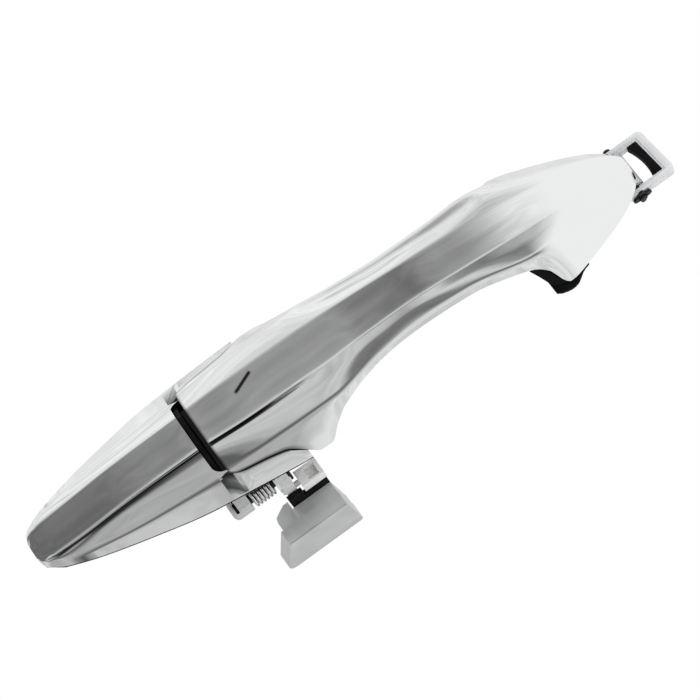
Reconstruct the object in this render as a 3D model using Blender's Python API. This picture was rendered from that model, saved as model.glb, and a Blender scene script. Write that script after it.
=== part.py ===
"""Strap-type outside door handle of a car, with its end cap, pivot loop and release lever.

The handle lies along X with the pivot loop at +X, the door skin is the plane y = 0, the outside
of the car is at -Y and up is +Z.  The end cap and the grip meet at x = 0.  Every size is in
millimetres and is turned into metres where a mesh is made.
"""
import math

import bmesh
import bpy
import numpy as np
from mathutils import Vector

MM = 0.001

# ---- driving dimensions (mm) -------------------------------------------------------------
CAP_TIP_X = -70.0            # point of the end cap's nose
CAP_END_X = -1.2             # end cap's face at the gap
GRIP_START_X = 3.0           # grip's tail face at the gap
GRIP_END_X = 180.0           # grip's front end
RIM_Y = -1.5                 # plane of the chrome edges, just outside the gaskets
GASKET_THICK = 1.2           # gaskets fill y = -1.2 .. 0
CENTRE_Z_AT_GAP = 3.15       # the handle's centre line runs down toward the loop
CENTRE_SLOPE = -0.0555
WALL = 2.2                   # wall of the chrome shells
FIT = 0.3                    # gap kept between pieces that touch

HINGE = (178.5, 4.2, -5.8)   # loop pin, the handle's hinge axis, along Z
LEVER_AXIS = (16.0, 16.5, -17.0)   # lever pin, along X
CLIP_AXIS = (20.0, 21.2, -20.9)    # rod clip's stem, along X

# Design curves: (x, value).  Heights are measured outward from the rim plane, half widths
# from the centre line.
CREST_HEIGHT = [(-70, 1.6), (-66, 3.0), (-60, 4.4), (-50, 6.6), (-30, 10.9), (-10, 13.4), (0, 14.6),
                (20, 15.5), (50, 18.0), (70, 19.8), (90, 20.5), (110, 19.4), (130, 17.9),
                (150, 15.6), (165, 12.2), (175, 8.2), (180, 5.0)]
FACET_HALF = [(-70, 2.9), (-69.3, 4.6), (-68, 5.9), (-66, 6.6), (-50, 7.4), (0, 7.8), (20, 8.4), (50, 8.4), (70, 7.9),
              (90, 7.3), (130, 6.8), (150, 6.0), (165, 4.8), (176, 3.3), (180, 2.2)]
BAND_HALF = [(-70, 3.5), (-69.4, 5.4), (-68.3, 7.1), (-66.5, 8.5), (-60, 10.7), (-50, 12.7), (-30, 15.3), (0, 17.5), (20, 18.3),
             (48, 18.8), (60, 16.8), (70, 15.1), (90, 13.4), (110, 13.4), (120, 14.5), (132, 16.0),
             (140, 15.1), (150, 12.7), (160, 9.7), (170, 7.4), (177, 5.6), (180, 3.4)]
CAP_BAND_HEIGHT = [(-70, 0.9), (-60, 1.6), (-45, 1.7), (-30, 2.3), (-15, 3.4), (0, 4.8)]
GRIP_BAND_HEIGHT = [(0, 7.4), (20, 9.8), (40, 11.8), (60, 13.2), (80, 15.2), (100, 15.9),
                    (120, 15.1), (140, 13.2), (160, 10.8), (170, 8.2), (180, 3.4)]
BASE_HALF = [(-70, 4.1), (-69.5, 6.2), (-68.4, 8.2), (-66.5, 9.8), (-60, 12.5), (-50, 15.7), (-30, 20.4), (-10, 24.2), (5, 25.6),
             (18, 26.8), (30, 27.6), (40, 27.4), (50, 26.4), (60, 21.3), (70, 16.4), (80, 14.7),
             (100, 13.9), (110, 15.3), (120, 18.6), (130, 21.8), (135, 24.8), (140, 25.7),
             (145, 24.1), (155, 20.7), (165, 16.7), (173, 12.6), (177, 9.6), (180, 5.2)]
GRIP_EDGE = [(3, 7.1), (4, 6.5), (6, 6.15), (15, 6.2), (23, 5.8), (27, 4.4), (31, 1.9), (34, 0.3), (38, 0.3), (44, 4.6),
             (50, 8.2), (60, 10.2), (80, 11.5), (110, 11.5), (122, 10.8), (130, 9.6), (135, 6.4),
             (137, 2.2), (139, 0.3), (180, 0.3)]
UPPER_FLARE = [(36, 0.0), (50, 0.8), (60, 2.4), (75, 3.6), (90, 4.2), (112, 4.8), (122, 4.4),
               (132, 2.6), (140, 0.0)]
BACK_HEIGHT = [(6, 6.5), (24, 6.4), (28, 5.0), (31, 2.9), (34, 1.0), (38, 1.0), (44, 3.0), (52, 5.4),
               (62, 6.8), (90, 7.5), (112, 7.4), (122, 7.8), (129, 9.4), (132, 9.6), (134, 8.6),
               (136, 6.0), (138, 3.0), (140, 1.0), (170, 1.0)]
FLANGE_HEIGHT = [(-4, 5.2), (15, 5.5), (23, 5.1), (27, 3.7), (30, 2.2)]


# ---- curves --------------------------------------------------------------------------------
def curve(table, x):
    """Smooth value at x through the table's points, without overshoot (monotone cubic)."""
    xs = [p[0] for p in table]
    ys = [p[1] for p in table]
    if x <= xs[0]:
        return ys[0]
    if x >= xs[-1]:
        return ys[-1]
    steps = [(ys[i + 1] - ys[i]) / (xs[i + 1] - xs[i]) for i in range(len(xs) - 1)]
    slopes = [steps[0]]
    for before, after in zip(steps, steps[1:]):
        slopes.append(0.0 if before * after <= 0 else 2 * before * after / (before + after))
    slopes.append(steps[-1])
    i = max(k for k in range(len(xs) - 1) if xs[k] <= x)
    width = xs[i + 1] - xs[i]
    t = (x - xs[i]) / width
    return (ys[i] * (1 + 2 * t) * (1 - t) ** 2 + ys[i + 1] * t * t * (3 - 2 * t)
            + width * t * (1 - t) * (slopes[i] * (1 - t) - slopes[i + 1] * t))


def centre_z(x):
    return CENTRE_Z_AT_GAP + CENTRE_SLOPE * x


def flank_half(x, height, band_height):
    """Half width of the flank at a height between the rim plane and the band edge."""
    band = curve(BAND_HALF, x)
    base = curve(BASE_HALF, x)
    return base + (band - base) * height / band_height


def section(x, band_table, edge_height):
    """Half-open outline of the chrome skin at x: (sideways, height), lower rim to upper rim."""
    crest = curve(CREST_HEIGHT, x)
    facet = curve(FACET_HALF, x)
    band = curve(BAND_HALF, x)
    band_height = min(curve(band_table, x), crest - 0.5)
    band_height = max(band_height, edge_height + 0.4)
    edge = flank_half(x, edge_height, band_height)
    flare = curve(UPPER_FLARE, x)
    chamfer = (0.5 * (facet + band), 0.5 * (crest - 0.35 + band_height) + 0.35)
    drop = band_height - edge_height
    lower = [(edge, edge_height), (0.5 * (edge + band), edge_height + 0.5 * drop), (band, band_height),
             chamfer, (facet, crest - 0.35), (0.55 * facet, crest - 0.1)]
    upper = [(edge + flare, edge_height),
             (0.5 * (edge + band) + 0.95 * flare, edge_height + (0.5 + 0.05 * flare) * drop),
             (band, band_height), chamfer, (facet, crest - 0.35), (0.55 * facet, crest - 0.1)]
    return [(-w, h) for w, h in lower] + [(0.0, crest)] + [(w, h) for w, h in reversed(upper)]


def inward(outline, wall):
    """The open outline moved in by the wall thickness."""
    points = [np.array(p, float) for p in outline]
    normals = []
    for a, b in zip(points, points[1:]):
        along = (b - a) / np.linalg.norm(b - a)
        normals.append(np.array([along[1], -along[0]]))
    moved = []
    for i, point in enumerate(points):
        before = normals[max(i - 1, 0)]
        after = normals[min(i, len(normals) - 1)]
        mean = (before + after) / np.linalg.norm(before + after)
        moved.append(tuple(point + mean * wall / max(0.7, float(mean @ before))))
    return moved


def ring_at(x, outline):
    """Outline points (sideways, height) as points in space."""
    middle = centre_z(x)
    return [(x, RIM_Y - height, middle + sideways) for sideways, height in outline]


def spread(*stretches):
    """Stations along X: (start, end, count) stretches joined end to end."""
    stations = []
    for start, end, count in stretches:
        stations.extend(np.linspace(start, end, count, endpoint=False))
    stations.append(stretches[-1][1])
    return [float(s) for s in stations]


# ---- mesh helpers --------------------------------------------------------------------------
def material(name, colour, roughness, metallic):
    made = bpy.data.materials.new(name)
    made.use_nodes = True
    shader = made.node_tree.nodes["Principled BSDF"]
    shader.inputs["Base Color"].default_value = (*colour, 1.0)
    shader.inputs["Roughness"].default_value = roughness
    shader.inputs["Metallic"].default_value = metallic
    made.diffuse_color = (*colour, 1.0)
    return made


def mesh_object(name, points, faces, finish=None, parent=None, smooth=None):
    """One object from points in mm and faces; its mesh is in world places, its origin on its axis."""
    origin = Vector(parent.location) if parent else Vector((0, 0, 0))
    mesh = bpy.data.meshes.new(name)
    mesh.from_pydata([tuple(Vector(p) * MM - origin) for p in points], [], faces)
    tidy = bmesh.new()
    tidy.from_mesh(mesh)
    bmesh.ops.recalc_face_normals(tidy, faces=tidy.faces)
    tidy.to_mesh(mesh)
    tidy.free()
    if smooth:
        mesh.shade_smooth()
        mesh.set_sharp_from_angle(angle=math.radians(smooth))
    made = bpy.data.objects.new(name, mesh)
    bpy.context.scene.collection.objects.link(made)
    if parent:
        made.parent = parent
    else:
        made.location = origin
    if finish:
        mesh.materials.append(finish)
    return made


def loft(name, rings, finish=None, parent=None, smooth=30):
    """Closed solid through rings that all have the same number of points."""
    count = len(rings[0])
    points = [p for ring in rings for p in ring]
    faces = []
    for i in range(len(rings) - 1):
        for j in range(count):
            k = (j + 1) % count
            faces.append((i * count + j, i * count + k, (i + 1) * count + k, (i + 1) * count + j))
    faces.append(tuple(range(count)))
    faces.append(tuple(len(points) - 1 - j for j in range(count)))
    return mesh_object(name, points, faces, finish, parent, smooth)


def box(name, low, high, finish=None, parent=None, bevel=0.0):
    ring = [(low[0], low[1]), (high[0], low[1]), (high[0], high[1]), (low[0], high[1])]
    made = loft(name, [[(x, y, z) for x, y in ring] for z in (low[2], high[2])], finish, parent, None)
    if bevel:
        add_bevel(made, bevel)
    return made


def add_bevel(thing, width, segments=1):
    modifier = thing.modifiers.new("bevel", "BEVEL")
    modifier.width = width * MM
    modifier.segments = segments
    modifier.limit_method = "ANGLE"
    modifier.angle_limit = math.radians(40)


AXES = {"X": lambda a, b, t: (t, a, b), "Y": lambda a, b, t: (b, t, a), "Z": lambda a, b, t: (a, b, t)}


def turned(name, axis, centre, profile, finish=None, parent=None, sides=24, smooth=35):
    """Round solid on an axis: profile is (place along the axis, radius), centre across the axis."""
    put = AXES[axis]
    rings = []
    for along, radius in profile:
        turn = [2 * math.pi * k / sides for k in range(sides)]
        rings.append([put(centre[0] + radius * math.cos(t), centre[1] + radius * math.sin(t), along)
                      for t in turn])
    return loft(name, rings, finish, parent, smooth)


def rod(name, axis, centre, radius, start, end, finish=None, parent=None, sides=24):
    return turned(name, axis, centre, [(start, radius), (end, radius)], finish, parent, sides)


def prism(name, axis, outline, start, end, finish=None, parent=None, smooth=30):
    """Flat outline (in the axis's own two directions) extruded along the axis."""
    put = AXES[axis]
    return loft(name, [[put(a, b, t) for a, b in outline] for t in (start, end)], finish, parent, smooth)


def arc(centre, radius, start, end, count):
    """Points on an arc, angles in degrees."""
    turn = [math.radians(start + (end - start) * k / (count - 1)) for k in range(count)]
    return [(centre[0] + radius * math.cos(t), centre[1] + radius * math.sin(t)) for t in turn]


def rounded_box_outline(low, high, radius, count=5):
    """Rectangle with round corners, anticlockwise."""
    inner = (low[0] + radius, low[1] + radius, high[0] - radius, high[1] - radius)
    return (arc((inner[2], inner[1]), radius, -90, 0, count) + arc((inner[2], inner[3]), radius, 0, 90, count)
            + arc((inner[0], inner[3]), radius, 90, 180, count)
            + arc((inner[0], inner[1]), radius, 180, 270, count))


def combine(thing, tool, operation):
    """Boolean with a hidden tool that the modifier keeps."""
    tool.hide_render = True
    tool.display_type = "WIRE"
    modifier = thing.modifiers.new(tool.name, "BOOLEAN")
    modifier.operation = operation
    modifier.solver = "EXACT"
    modifier.object = tool


def cut(thing, *tools):
    for tool in tools:
        combine(thing, tool, "DIFFERENCE")


def join(thing, *tools):
    for tool in tools:
        combine(thing, tool, "UNION")


def axis_empty(name, place):
    empty = bpy.data.objects.new(name, None)
    empty.location = Vector(place) * MM
    empty.empty_display_size = 0.01
    bpy.context.scene.collection.objects.link(empty)
    return empty


# ---- end cap and its mounting --------------------------------------------------------------
CAP_POSTS = [-29.0, -6.0]
POST_RADIUS = 3.6
PILOT_RADIUS = 1.6
TRAY_END_X = 30.0
TRAY_FLOOR = 2.0
PLATE_FRONT_Y = 2.4          # bracket plate, behind the door skin
PLATE_BACK_Y = 4.9
HOOK_GATE_X = (9.0, 28.0)    # opening that the tail hook and the lever finger pass through
HOOK_GATE_Z = (-8.0, 10.0)


def skin_rings(stations, band_table, edge_table):
    return [ring_at(x, section(x, band_table, curve(edge_table, x))) for x in stations]


def cavity_rings(stations, band_table, edge_table, depth=3.0):
    """Inside of a shell: the skin moved in, and carried on past the rim so that it cuts it open."""
    rings = []
    for x in stations:
        edge = curve(edge_table, x)
        inside = inward(section(x, band_table, edge), WALL)
        below = edge - depth
        rings.append(ring_at(x, [(inside[0][0], below)] + inside + [(inside[-1][0], below)]))
    return rings


def make_end_cap(chrome):
    flat_edge = [(CAP_TIP_X, 0.0), (CAP_END_X, 0.0)]
    cap_x = spread((CAP_TIP_X, -68.0, 5), (-68.0, -64.0, 3), (-64.0, CAP_END_X, 16))
    cap = loft("end_cap", skin_rings(cap_x, CAP_BAND_HEIGHT, flat_edge), chrome)
    hollow_x = spread((-57.0, CAP_END_X - WALL, 14))
    cut(cap, loft("cap_hollow", cavity_rings(hollow_x, CAP_BAND_HEIGHT, flat_edge)))
    join(cap, make_tray())
    cut(cap, box("tray_gate", (HOOK_GATE_X[0], RIM_Y - 4, HOOK_GATE_Z[0]),
                 (HOOK_GATE_X[1], RIM_Y + 1, HOOK_GATE_Z[1])))
    for number, x in enumerate(CAP_POSTS):
        top = RIM_Y - curve(CREST_HEIGHT, x) + 1.2
        post = rod(f"cap_post_{number}", "Y", (centre_z(x), x), POST_RADIUS, top, PLATE_FRONT_Y - FIT)
        join(cap, post)
    for number, x in enumerate(CAP_POSTS):
        pilot = rod(f"cap_pilot_{number}", "Y", (centre_z(x), x), PILOT_RADIUS, -8.0, PLATE_FRONT_Y + 1)
        cut(cap, pilot)
    return cap


def make_tray():
    """Flanges either side of the grip's tail, with the floor between them."""
    inset = 0.15
    thick = 2.0
    rings = []
    for x in spread((CAP_END_X - 1.4, 22.0, 8), (22.0, TRAY_END_X, 6)):
        top = curve(FLANGE_HEIGHT, x)
        band_height = curve(GRIP_BAND_HEIGHT, max(x, GRIP_START_X))
        if x < CAP_END_X:
            band_height = curve(CAP_BAND_HEIGHT, x)
            top = min(top, band_height)
        outer_top = flank_half(x, top, band_height) - inset
        outer_foot = curve(BASE_HALF, x) - inset
        half = [(outer_foot, 0.0), (outer_top, top), (outer_top - thick, top), (outer_foot - 5.0, TRAY_FLOOR)]
        rings.append(ring_at(x, [(-w, h) for w, h in half] + [(w, h) for w, h in reversed(half)]))
    return loft("tray", rings)


def footprint(start, end, shrink, count=18):
    """Outline of the chrome's foot between two stations, as (z, x) for a prism along Y."""
    stations = spread((start, end, count))
    lower = [(centre_z(x) - curve(BASE_HALF, x) + shrink, x) for x in stations]
    upper = [(centre_z(x) + curve(BASE_HALF, x) - shrink, x) for x in reversed(stations)]
    return lower + upper


def make_rear_gasket(rubber):
    gasket = prism("rear_gasket", "Y", footprint(CAP_TIP_X + 1.0, TRAY_END_X, 0.3), -GASKET_THICK, 0.0, rubber)
    web = (-1.8, 2.6)
    cut(gasket, prism("gasket_opening_0", "Y", footprint(-52.0, web[0], 9.0), -3.0, 2.0),
        prism("gasket_opening_1", "Y", footprint(web[1], TRAY_END_X - 1.5, 9.0), -3.0, 2.0))
    return gasket


def make_base_bracket(zinc):
    outline = rounded_box_outline((-10.5, -35.0), (16.0, 33.0), 5.0)
    bracket = prism("base_bracket", "Y", outline, PLATE_FRONT_Y, PLATE_BACK_Y, zinc)
    rib_outline = rounded_box_outline((-9.9, -34.0), (15.0, 32.0), 4.4)
    inner_outline = rounded_box_outline((-8.4, -32.5), (13.5, 30.5), 3.0)
    rib = prism("plate_rib", "Y", rib_outline, PLATE_BACK_Y - 0.5, PLATE_BACK_Y + 2.6)
    cut(rib, prism("plate_rib_hollow", "Y", inner_outline, PLATE_BACK_Y - 2.0, PLATE_BACK_Y + 5.0))
    join(bracket, rib, make_lever_ear(), make_ear_boss(), make_insert_boss())
    cut(bracket, box("plate_gate", (HOOK_GATE_X[0], 0.0, HOOK_GATE_Z[0]), (HOOK_GATE_X[1], 9.0, HOOK_GATE_Z[1])),
        rod("ear_bore", "X", LEVER_AXIS[1:], PIN_RADIUS + FIT, -9.0, 5.0),
        box("ear_slit", (-3.9, LEVER_AXIS[1] - 7, LEVER_AXIS[2] - 3.4),
            (-2.7, LEVER_AXIS[1] + 7, LEVER_AXIS[2] + 7)),
        rod("insert_seat", "Y", (centre_z(INSERT_X), INSERT_X), INSERT_RADIUS + FIT, 5.5, 20.0))
    for number, x in enumerate(CAP_POSTS):
        cut(bracket, rod(f"plate_hole_{number}", "Y", (centre_z(x), x), 2.0, 0.0, 9.0))
    return bracket


PIN_RADIUS = 2.0
EAR_X = (-5.6, 2.3)
EAR_RADIUS = 4.3


def make_lever_ear():
    """Boss that carries the lever pin, on an arm that comes down from the plate."""
    y, z = LEVER_AXIS[1:]
    outline = arc((y, z), EAR_RADIUS, -115, 75, 12) + [(9.0, -7.0), (PLATE_FRONT_Y + 1.0, -7.0),
                                                      (PLATE_FRONT_Y + 1.0, -10.2)]
    return prism("lever_ear", "X", outline, EAR_X[0] + 1.6, EAR_X[1])


def make_ear_boss():
    """Round outer end of the ear."""
    profile = [(EAR_X[0], 2.6), (EAR_X[0] + 0.4, 3.5), (EAR_X[0] + 1.2, EAR_RADIUS - 0.1),
               (EAR_X[1] - 0.4, EAR_RADIUS - 0.1)]
    return turned("ear_boss", "X", LEVER_AXIS[1:], profile, sides=32)


INSERT_X = -17.5
INSERT_RADIUS = 4.0
INSERT_END_Y = 14.0


def make_insert_boss():
    place = (centre_z(INSERT_X), INSERT_X)
    return turned("insert_boss", "Y", place, [(PLATE_BACK_Y - 0.5, 6.9), (8.0, 6.3), (INSERT_END_Y - 0.6, 6.3)])


def make_mount_insert(steel):
    """Threaded insert for the fixing bolt, with a flat ring face."""
    place = (centre_z(INSERT_X), INSERT_X)
    insert = turned("mount_insert", "Y", place, [(5.8, INSERT_RADIUS), (INSERT_END_Y, INSERT_RADIUS)], steel)
    cut(insert, rod("insert_thread", "Y", place, 2.5, 3.0, INSERT_END_Y + 2.0))
    return insert


def pan_screw(name, axis, place, seat, tip, steel, parent=None, shank=1.2, head=3.4, tall=2.0):
    """Screw with its head on the seat, its tip further along the axis, and a cross slot."""
    away = 1.0 if seat > tip else -1.0
    profile = [(tip, shank * 0.6), (tip + away * 1.0, shank), (seat, shank), (seat + away * 0.01, head),
               (seat + away * tall * 0.6, head), (seat + away * tall, head * 0.6)]
    if away < 0:
        profile.reverse()
    screw = turned(name, axis, place, profile, steel, parent, 16)
    top = seat + away * tall
    for turn in (0, 1):
        across = (head * 0.5, 0.45) if turn else (0.45, head * 0.5)
        low, high = sorted((top - away * 0.9, top + away * 1.0))
        put = AXES[axis]
        corners = [put(place[0] + sa * across[0], place[1] + sb * across[1], t)
                   for t in (low, high) for sa, sb in ((-1, -1), (1, 1))]
        a, b = np.min(corners, axis=0), np.max(corners, axis=0)
        cut(screw, box(f"{name}_slot_{turn}", tuple(a), tuple(b), parent=parent))
    return screw


def make_gap_seal(rubber):
    """Rubber bumper on the cap's end face, filling most of the gap to the grip."""
    inside = inward(section(CAP_END_X, CAP_BAND_HEIGHT, 0.0), 1.5)[2:-2]
    rings = []
    for x in (CAP_END_X + FIT, CAP_END_X + 2.0):
        rings.append([(x, RIM_Y - h, centre_z(CAP_END_X) + w) for w, h in inside])
    return loft("gap_seal", rings, rubber)


def make_lever_pin(dark):
    profile = [(-5.2, 1.6), (-4.8, PIN_RADIUS), (18.99, PIN_RADIUS), (19.0, 3.4), (19.7, 3.4), (20.0, 3.0)]
    return turned("lever_pin", "X", LEVER_AXIS[1:], profile, dark)


def make_lever_pin_clip(dark):
    clip = turned("lever_pin_clip", "X", LEVER_AXIS[1:], [(-3.6, 3.3), (-3.0, 3.3)], dark)
    cut(clip, rod("clip_bore", "X", LEVER_AXIS[1:], PIN_RADIUS + FIT, -5.0, 0.0))
    return clip


SPRING_X = (3.2, 12.4)
SPRING_MEAN_RADIUS = 3.7
SPRING_WIRE_RADIUS = 0.58
SPRING_TURNS = 5.5


def make_return_spring(spring_steel):
    """Torsion spring round the lever pin, its two ends running out as straight legs."""
    y, z = LEVER_AXIS[1:]
    steps = int(SPRING_TURNS * 14)
    start_turn = math.radians(200)
    path = []
    for i in range(steps + 1):
        turn = start_turn + 2 * math.pi * SPRING_TURNS * i / steps
        x = SPRING_X[0] + SPRING_WIRE_RADIUS + (SPRING_X[1] - SPRING_X[0] - 2 * SPRING_WIRE_RADIUS) * i / steps
        path.append((x, y + SPRING_MEAN_RADIUS * math.cos(turn), z + SPRING_MEAN_RADIUS * math.sin(turn)))
    leg = Vector((0.0, math.sin(start_turn), -math.cos(start_turn)))
    first = [tuple(Vector(path[0]) + leg * length) for length in (7.0, 4.0, 1.5)]
    last = [tuple(Vector(path[-1]) + leg * length) for length in (1.5, 4.0, 7.0)]
    return wire("return_spring", first + path + last, SPRING_WIRE_RADIUS, spring_steel)


def wire(name, path, radius, finish, sides=8):
    """Round wire along a path, as a closed solid."""
    points = [Vector(p) for p in path]
    rings = []
    side = None
    for i, point in enumerate(points):
        along = (points[min(i + 1, len(points) - 1)] - points[max(i - 1, 0)]).normalized()
        guide = side if side is not None else Vector((0.3, 0.2, 1.0))
        side = (guide - along * guide.dot(along)).normalized()
        other = along.cross(side)
        rings.append([tuple(point + (side * math.cos(2 * math.pi * k / sides)
                                     + other * math.sin(2 * math.pi * k / sides)) * radius)
                      for k in range(sides)])
    return loft(name, rings, finish, None, 60)


# ---- pivot loop at the front end -----------------------------------------------------------
LOOP_Y = (2.0, 6.4)
LOOP_Z = (-15.9, 4.3)
LOOP_RAIL = 2.6
LOOP_START_X = 174.4
LOOP_END_X = 193.8
LOOP_SLANT = 1.5             # the end bar's top stands this far back from its foot
LOOP_BAR = 3.6
LOOP_PIN_RADIUS = 1.6


def slanted(outline):
    """(x, z) points past the loop's root, moved back in step with their height."""
    tall = LOOP_Z[1] - LOOP_Z[0]
    return [(x - (LOOP_SLANT * (z - LOOP_Z[0]) / tall if x > LOOP_START_X + 4 else 0.0), z) for x, z in outline]


def make_pivot_loop(zinc):
    """Clevis-shaped loop: two rails and an end bar round a window, with the pin through its lugs."""
    outline = slanted(rounded_box_outline((LOOP_START_X, LOOP_Z[0]), (LOOP_END_X, LOOP_Z[1]), 2.0))
    loop = loft("pivot_loop", [[(x, y, z) for x, z in outline] for y in LOOP_Y], zinc)
    window = [(LOOP_START_X - 5, LOOP_Z[0] + LOOP_RAIL), (LOOP_END_X - LOOP_BAR, LOOP_Z[0] + LOOP_RAIL),
              (LOOP_END_X - LOOP_BAR, LOOP_Z[1] - LOOP_RAIL), (LOOP_START_X - 5, LOOP_Z[1] - LOOP_RAIL)]
    window = slanted(window)
    cut(loop, loft("loop_window", [[(x, y, z) for x, z in window] for y in (0.0, 9.0)]),
        rod("loop_bore", "Z", HINGE[:2], LOOP_PIN_RADIUS + FIT, -20.0, 6.0, sides=16))
    return loop


def make_loop_liner(rubber):
    """Liner on the end bar's inner side, hollowed where it wraps the door's post."""
    right = LOOP_END_X - LOOP_BAR - FIT
    low, high = LOOP_Z[0] + LOOP_RAIL + FIT, LOOP_Z[1] - LOOP_RAIL - FIT
    middle = 0.5 * (low + high)
    half = 0.5 * (high - low)
    face = 186.2
    hollow = 1.2
    bow = [(face + hollow * (1 - ((z - middle) / half) ** 2), z) for z in np.linspace(high, low, 9)]
    outline = slanted([(right, low), (right, high)] + [(x, float(z)) for x, z in bow])
    return loft("loop_liner", [[(x, y, z) for x, z in outline] for y in (LOOP_Y[0] + 0.3, LOOP_Y[1] - 0.3)], rubber)


def make_loop_pin(dark):
    profile = [(-18.1, 1.2), (-17.8, LOOP_PIN_RADIUS), (5.5, LOOP_PIN_RADIUS), (6.0, 1.1)]
    return turned("loop_pin", "Z", HINGE[:2], profile, dark, sides=20)


def make_loop_pin_clip(dark):
    """Push-on retainer with four lobes, on the pin's lower end."""
    lobes = 4
    outline = []
    for k in range(lobes * 8):
        turn = 2 * math.pi * k / (lobes * 8)
        reach = 2.9 + 0.9 * math.cos(lobes * turn)
        outline.append((HINGE[0] + reach * math.cos(turn), HINGE[1] + reach * math.sin(turn)))
    clip = prism("loop_pin_clip", "Z", outline, LOOP_Z[0] - FIT - 1.1, LOOP_Z[0] - FIT, dark)
    cut(clip, rod("retainer_bore", "Z", HINGE[:2], LOOP_PIN_RADIUS + FIT, -20.0, -14.0, sides=16))
    return clip


GASKET_LIP = [(133, -2.2), (137, -2.0), (141, -1.2), (146, 0.3), (148, 0.3)]


def make_front_gasket(rubber):
    """Gasket under the front foot, with a lip that shows below the foot's rear corner."""
    xs = spread((132.6, 148.0, 9))
    lower = [(centre_z(x) - curve(BASE_HALF, x) + curve(GASKET_LIP, x), x) for x in xs]
    upper = [(centre_z(x) + curve(BASE_HALF, x) - 0.3, x) for x in reversed(xs)]
    return prism("front_gasket", "Y", lower + upper, -GASKET_THICK, 0.0, rubber)


# ---- grip ----------------------------------------------------------------------------------
GRIP_SCREWS = [12.0, 60.0, 118.0, 148.0]
SCREW_SIDE = 1.0             # screws sit this far above the centre line


def grip_stations():
    return spread((GRIP_START_X, 22.0, 6), (22.0, 36.0, 9), (36.0, 62.0, 9), (62.0, 126.0, 11),
                  (126.0, 140.0, 11), (140.0, 172.0, 8), (172.0, GRIP_END_X, 5))


def make_grip_outer_shell(chrome, parent):
    shell = loft("grip_outer_shell", skin_rings(grip_stations(), GRIP_BAND_HEIGHT, GRIP_EDGE), chrome, parent)
    inside_x = [x for x in grip_stations() if GRIP_START_X + WALL <= x <= GRIP_END_X - 4.0]
    cut(shell, loft("grip_hollow", cavity_rings(inside_x, GRIP_BAND_HEIGHT, GRIP_EDGE, 12.0), parent=parent))
    for number, x in enumerate(GRIP_SCREWS):
        post_end = curve(BACK_HEIGHT, x) + 3.2
        top = curve(CREST_HEIGHT, x) - 1.2
        place = (centre_z(x) + SCREW_SIDE, x)
        join(shell, rod(f"grip_post_{number}", "Y", place, 3.0, RIM_Y - top, RIM_Y - post_end, parent=parent, sides=16))
    for number, x in enumerate(GRIP_SCREWS):
        place = (centre_z(x) + SCREW_SIDE, x)
        start = RIM_Y - curve(CREST_HEIGHT, x) + 3.0
        cut(shell, rod(f"grip_pilot_{number}", "Y", place, 1.3, start, 2.0, parent=parent, sides=16))
    return shell


def side_room(wall, height):
    """Clear half width inside a wall, given from its rim inward, up to a height."""
    side_gap = 0.5
    widths = [abs(w) for w, h in wall]
    heights = [h for w, h in wall]
    return float(np.interp(height, heights, widths)) - side_gap


def make_grip_back_shell(plastic, parent):
    """Inner half of the grip: a shallow trough inside the outer shell's rim."""
    thick = 2.2
    rings = []
    stations = [x for x in grip_stations() if 6.0 <= x <= 158.0]
    for x in stations:
        edge = curve(GRIP_EDGE, x)
        inside = inward(section(x, GRIP_BAND_HEIGHT, edge), WALL)
        half = len(inside) // 2
        back = curve(BACK_HEIGHT, x)
        top = max(edge - 0.4, back + 0.3) + thick
        low = -side_room(inside[:half], top)
        high = side_room(inside[:half:-1], top)
        shoulder = max(edge - 0.4, back + 0.3)
        outer = [(low, shoulder), (low * 0.78, back + 0.4 * (shoulder - back)), (low * 0.5, back),
                 (high * 0.5, back), (high * 0.78, back + 0.4 * (shoulder - back)), (high, shoulder)]
        inner = [(w, h + thick) for w, h in reversed(outer)]
        rings.append(ring_at(x, outer + inner))
    back_shell = loft("grip_back_shell", rings, plastic, parent)
    hook_hole = box("hook_hole", (HOOK_ARM_X[0] - 1, -14, HOOK_Z[0] - 1), (HOOK_ARM_X[1] + 1, -3, HOOK_Z[1] + 1),
                    parent=parent)
    cut(back_shell, hook_hole)
    for number, x in enumerate(GRIP_SCREWS):
        place = (centre_z(x) + SCREW_SIDE, x)
        seat = RIM_Y - curve(BACK_HEIGHT, x) - 0.2
        hole = turned(f"back_hole_{number}", "Y", place, [(seat - 12.0, 1.6), (seat - 1.0, 1.6), (seat - 0.99, 3.0),
                                                         (seat + 6.0, 3.0)], parent=parent, sides=16)
        cut(back_shell, hole)
    return back_shell


def make_grip_screws(steel, parent):
    for number, x in enumerate(GRIP_SCREWS):
        seat = RIM_Y - curve(BACK_HEIGHT, x) - 0.2 - 1.0 + FIT
        place = (centre_z(x) + SCREW_SIDE, x)
        tip = RIM_Y - curve(CREST_HEIGHT, x) + 3.6
        pan_screw(f"grip_screw_{number + 1}", "Y", place, seat, tip, steel, parent, 1.0, 2.5, 1.2)


HEEL_TOP = 9.0


def make_foot_heel(rubber, parent):
    """Rubber heel that closes the front foot on the finger side, just below the chrome edge."""
    rings = []
    for height in np.linspace(0.2, HEEL_TOP, 8):
        left = 133.3 - 0.5 * height
        right = edge_station(height) - 0.5
        ring = []
        for x, side in ((left, -1), (right, -1), (right, 1), (left, 1)):
            half = flank_half(x, height, curve(GRIP_BAND_HEIGHT, x)) - 0.3
            ring.append((x, RIM_Y - float(height), centre_z(x) + side * half))
        rings.append(ring)
    return loft("foot_heel", rings, rubber, parent)


def edge_station(height):
    """Station where the front foot's edge passes a height."""
    stations = np.linspace(128.0, 139.0, 200)
    return float(min(stations, key=lambda x: abs(curve(GRIP_EDGE, x) - height)))


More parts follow.
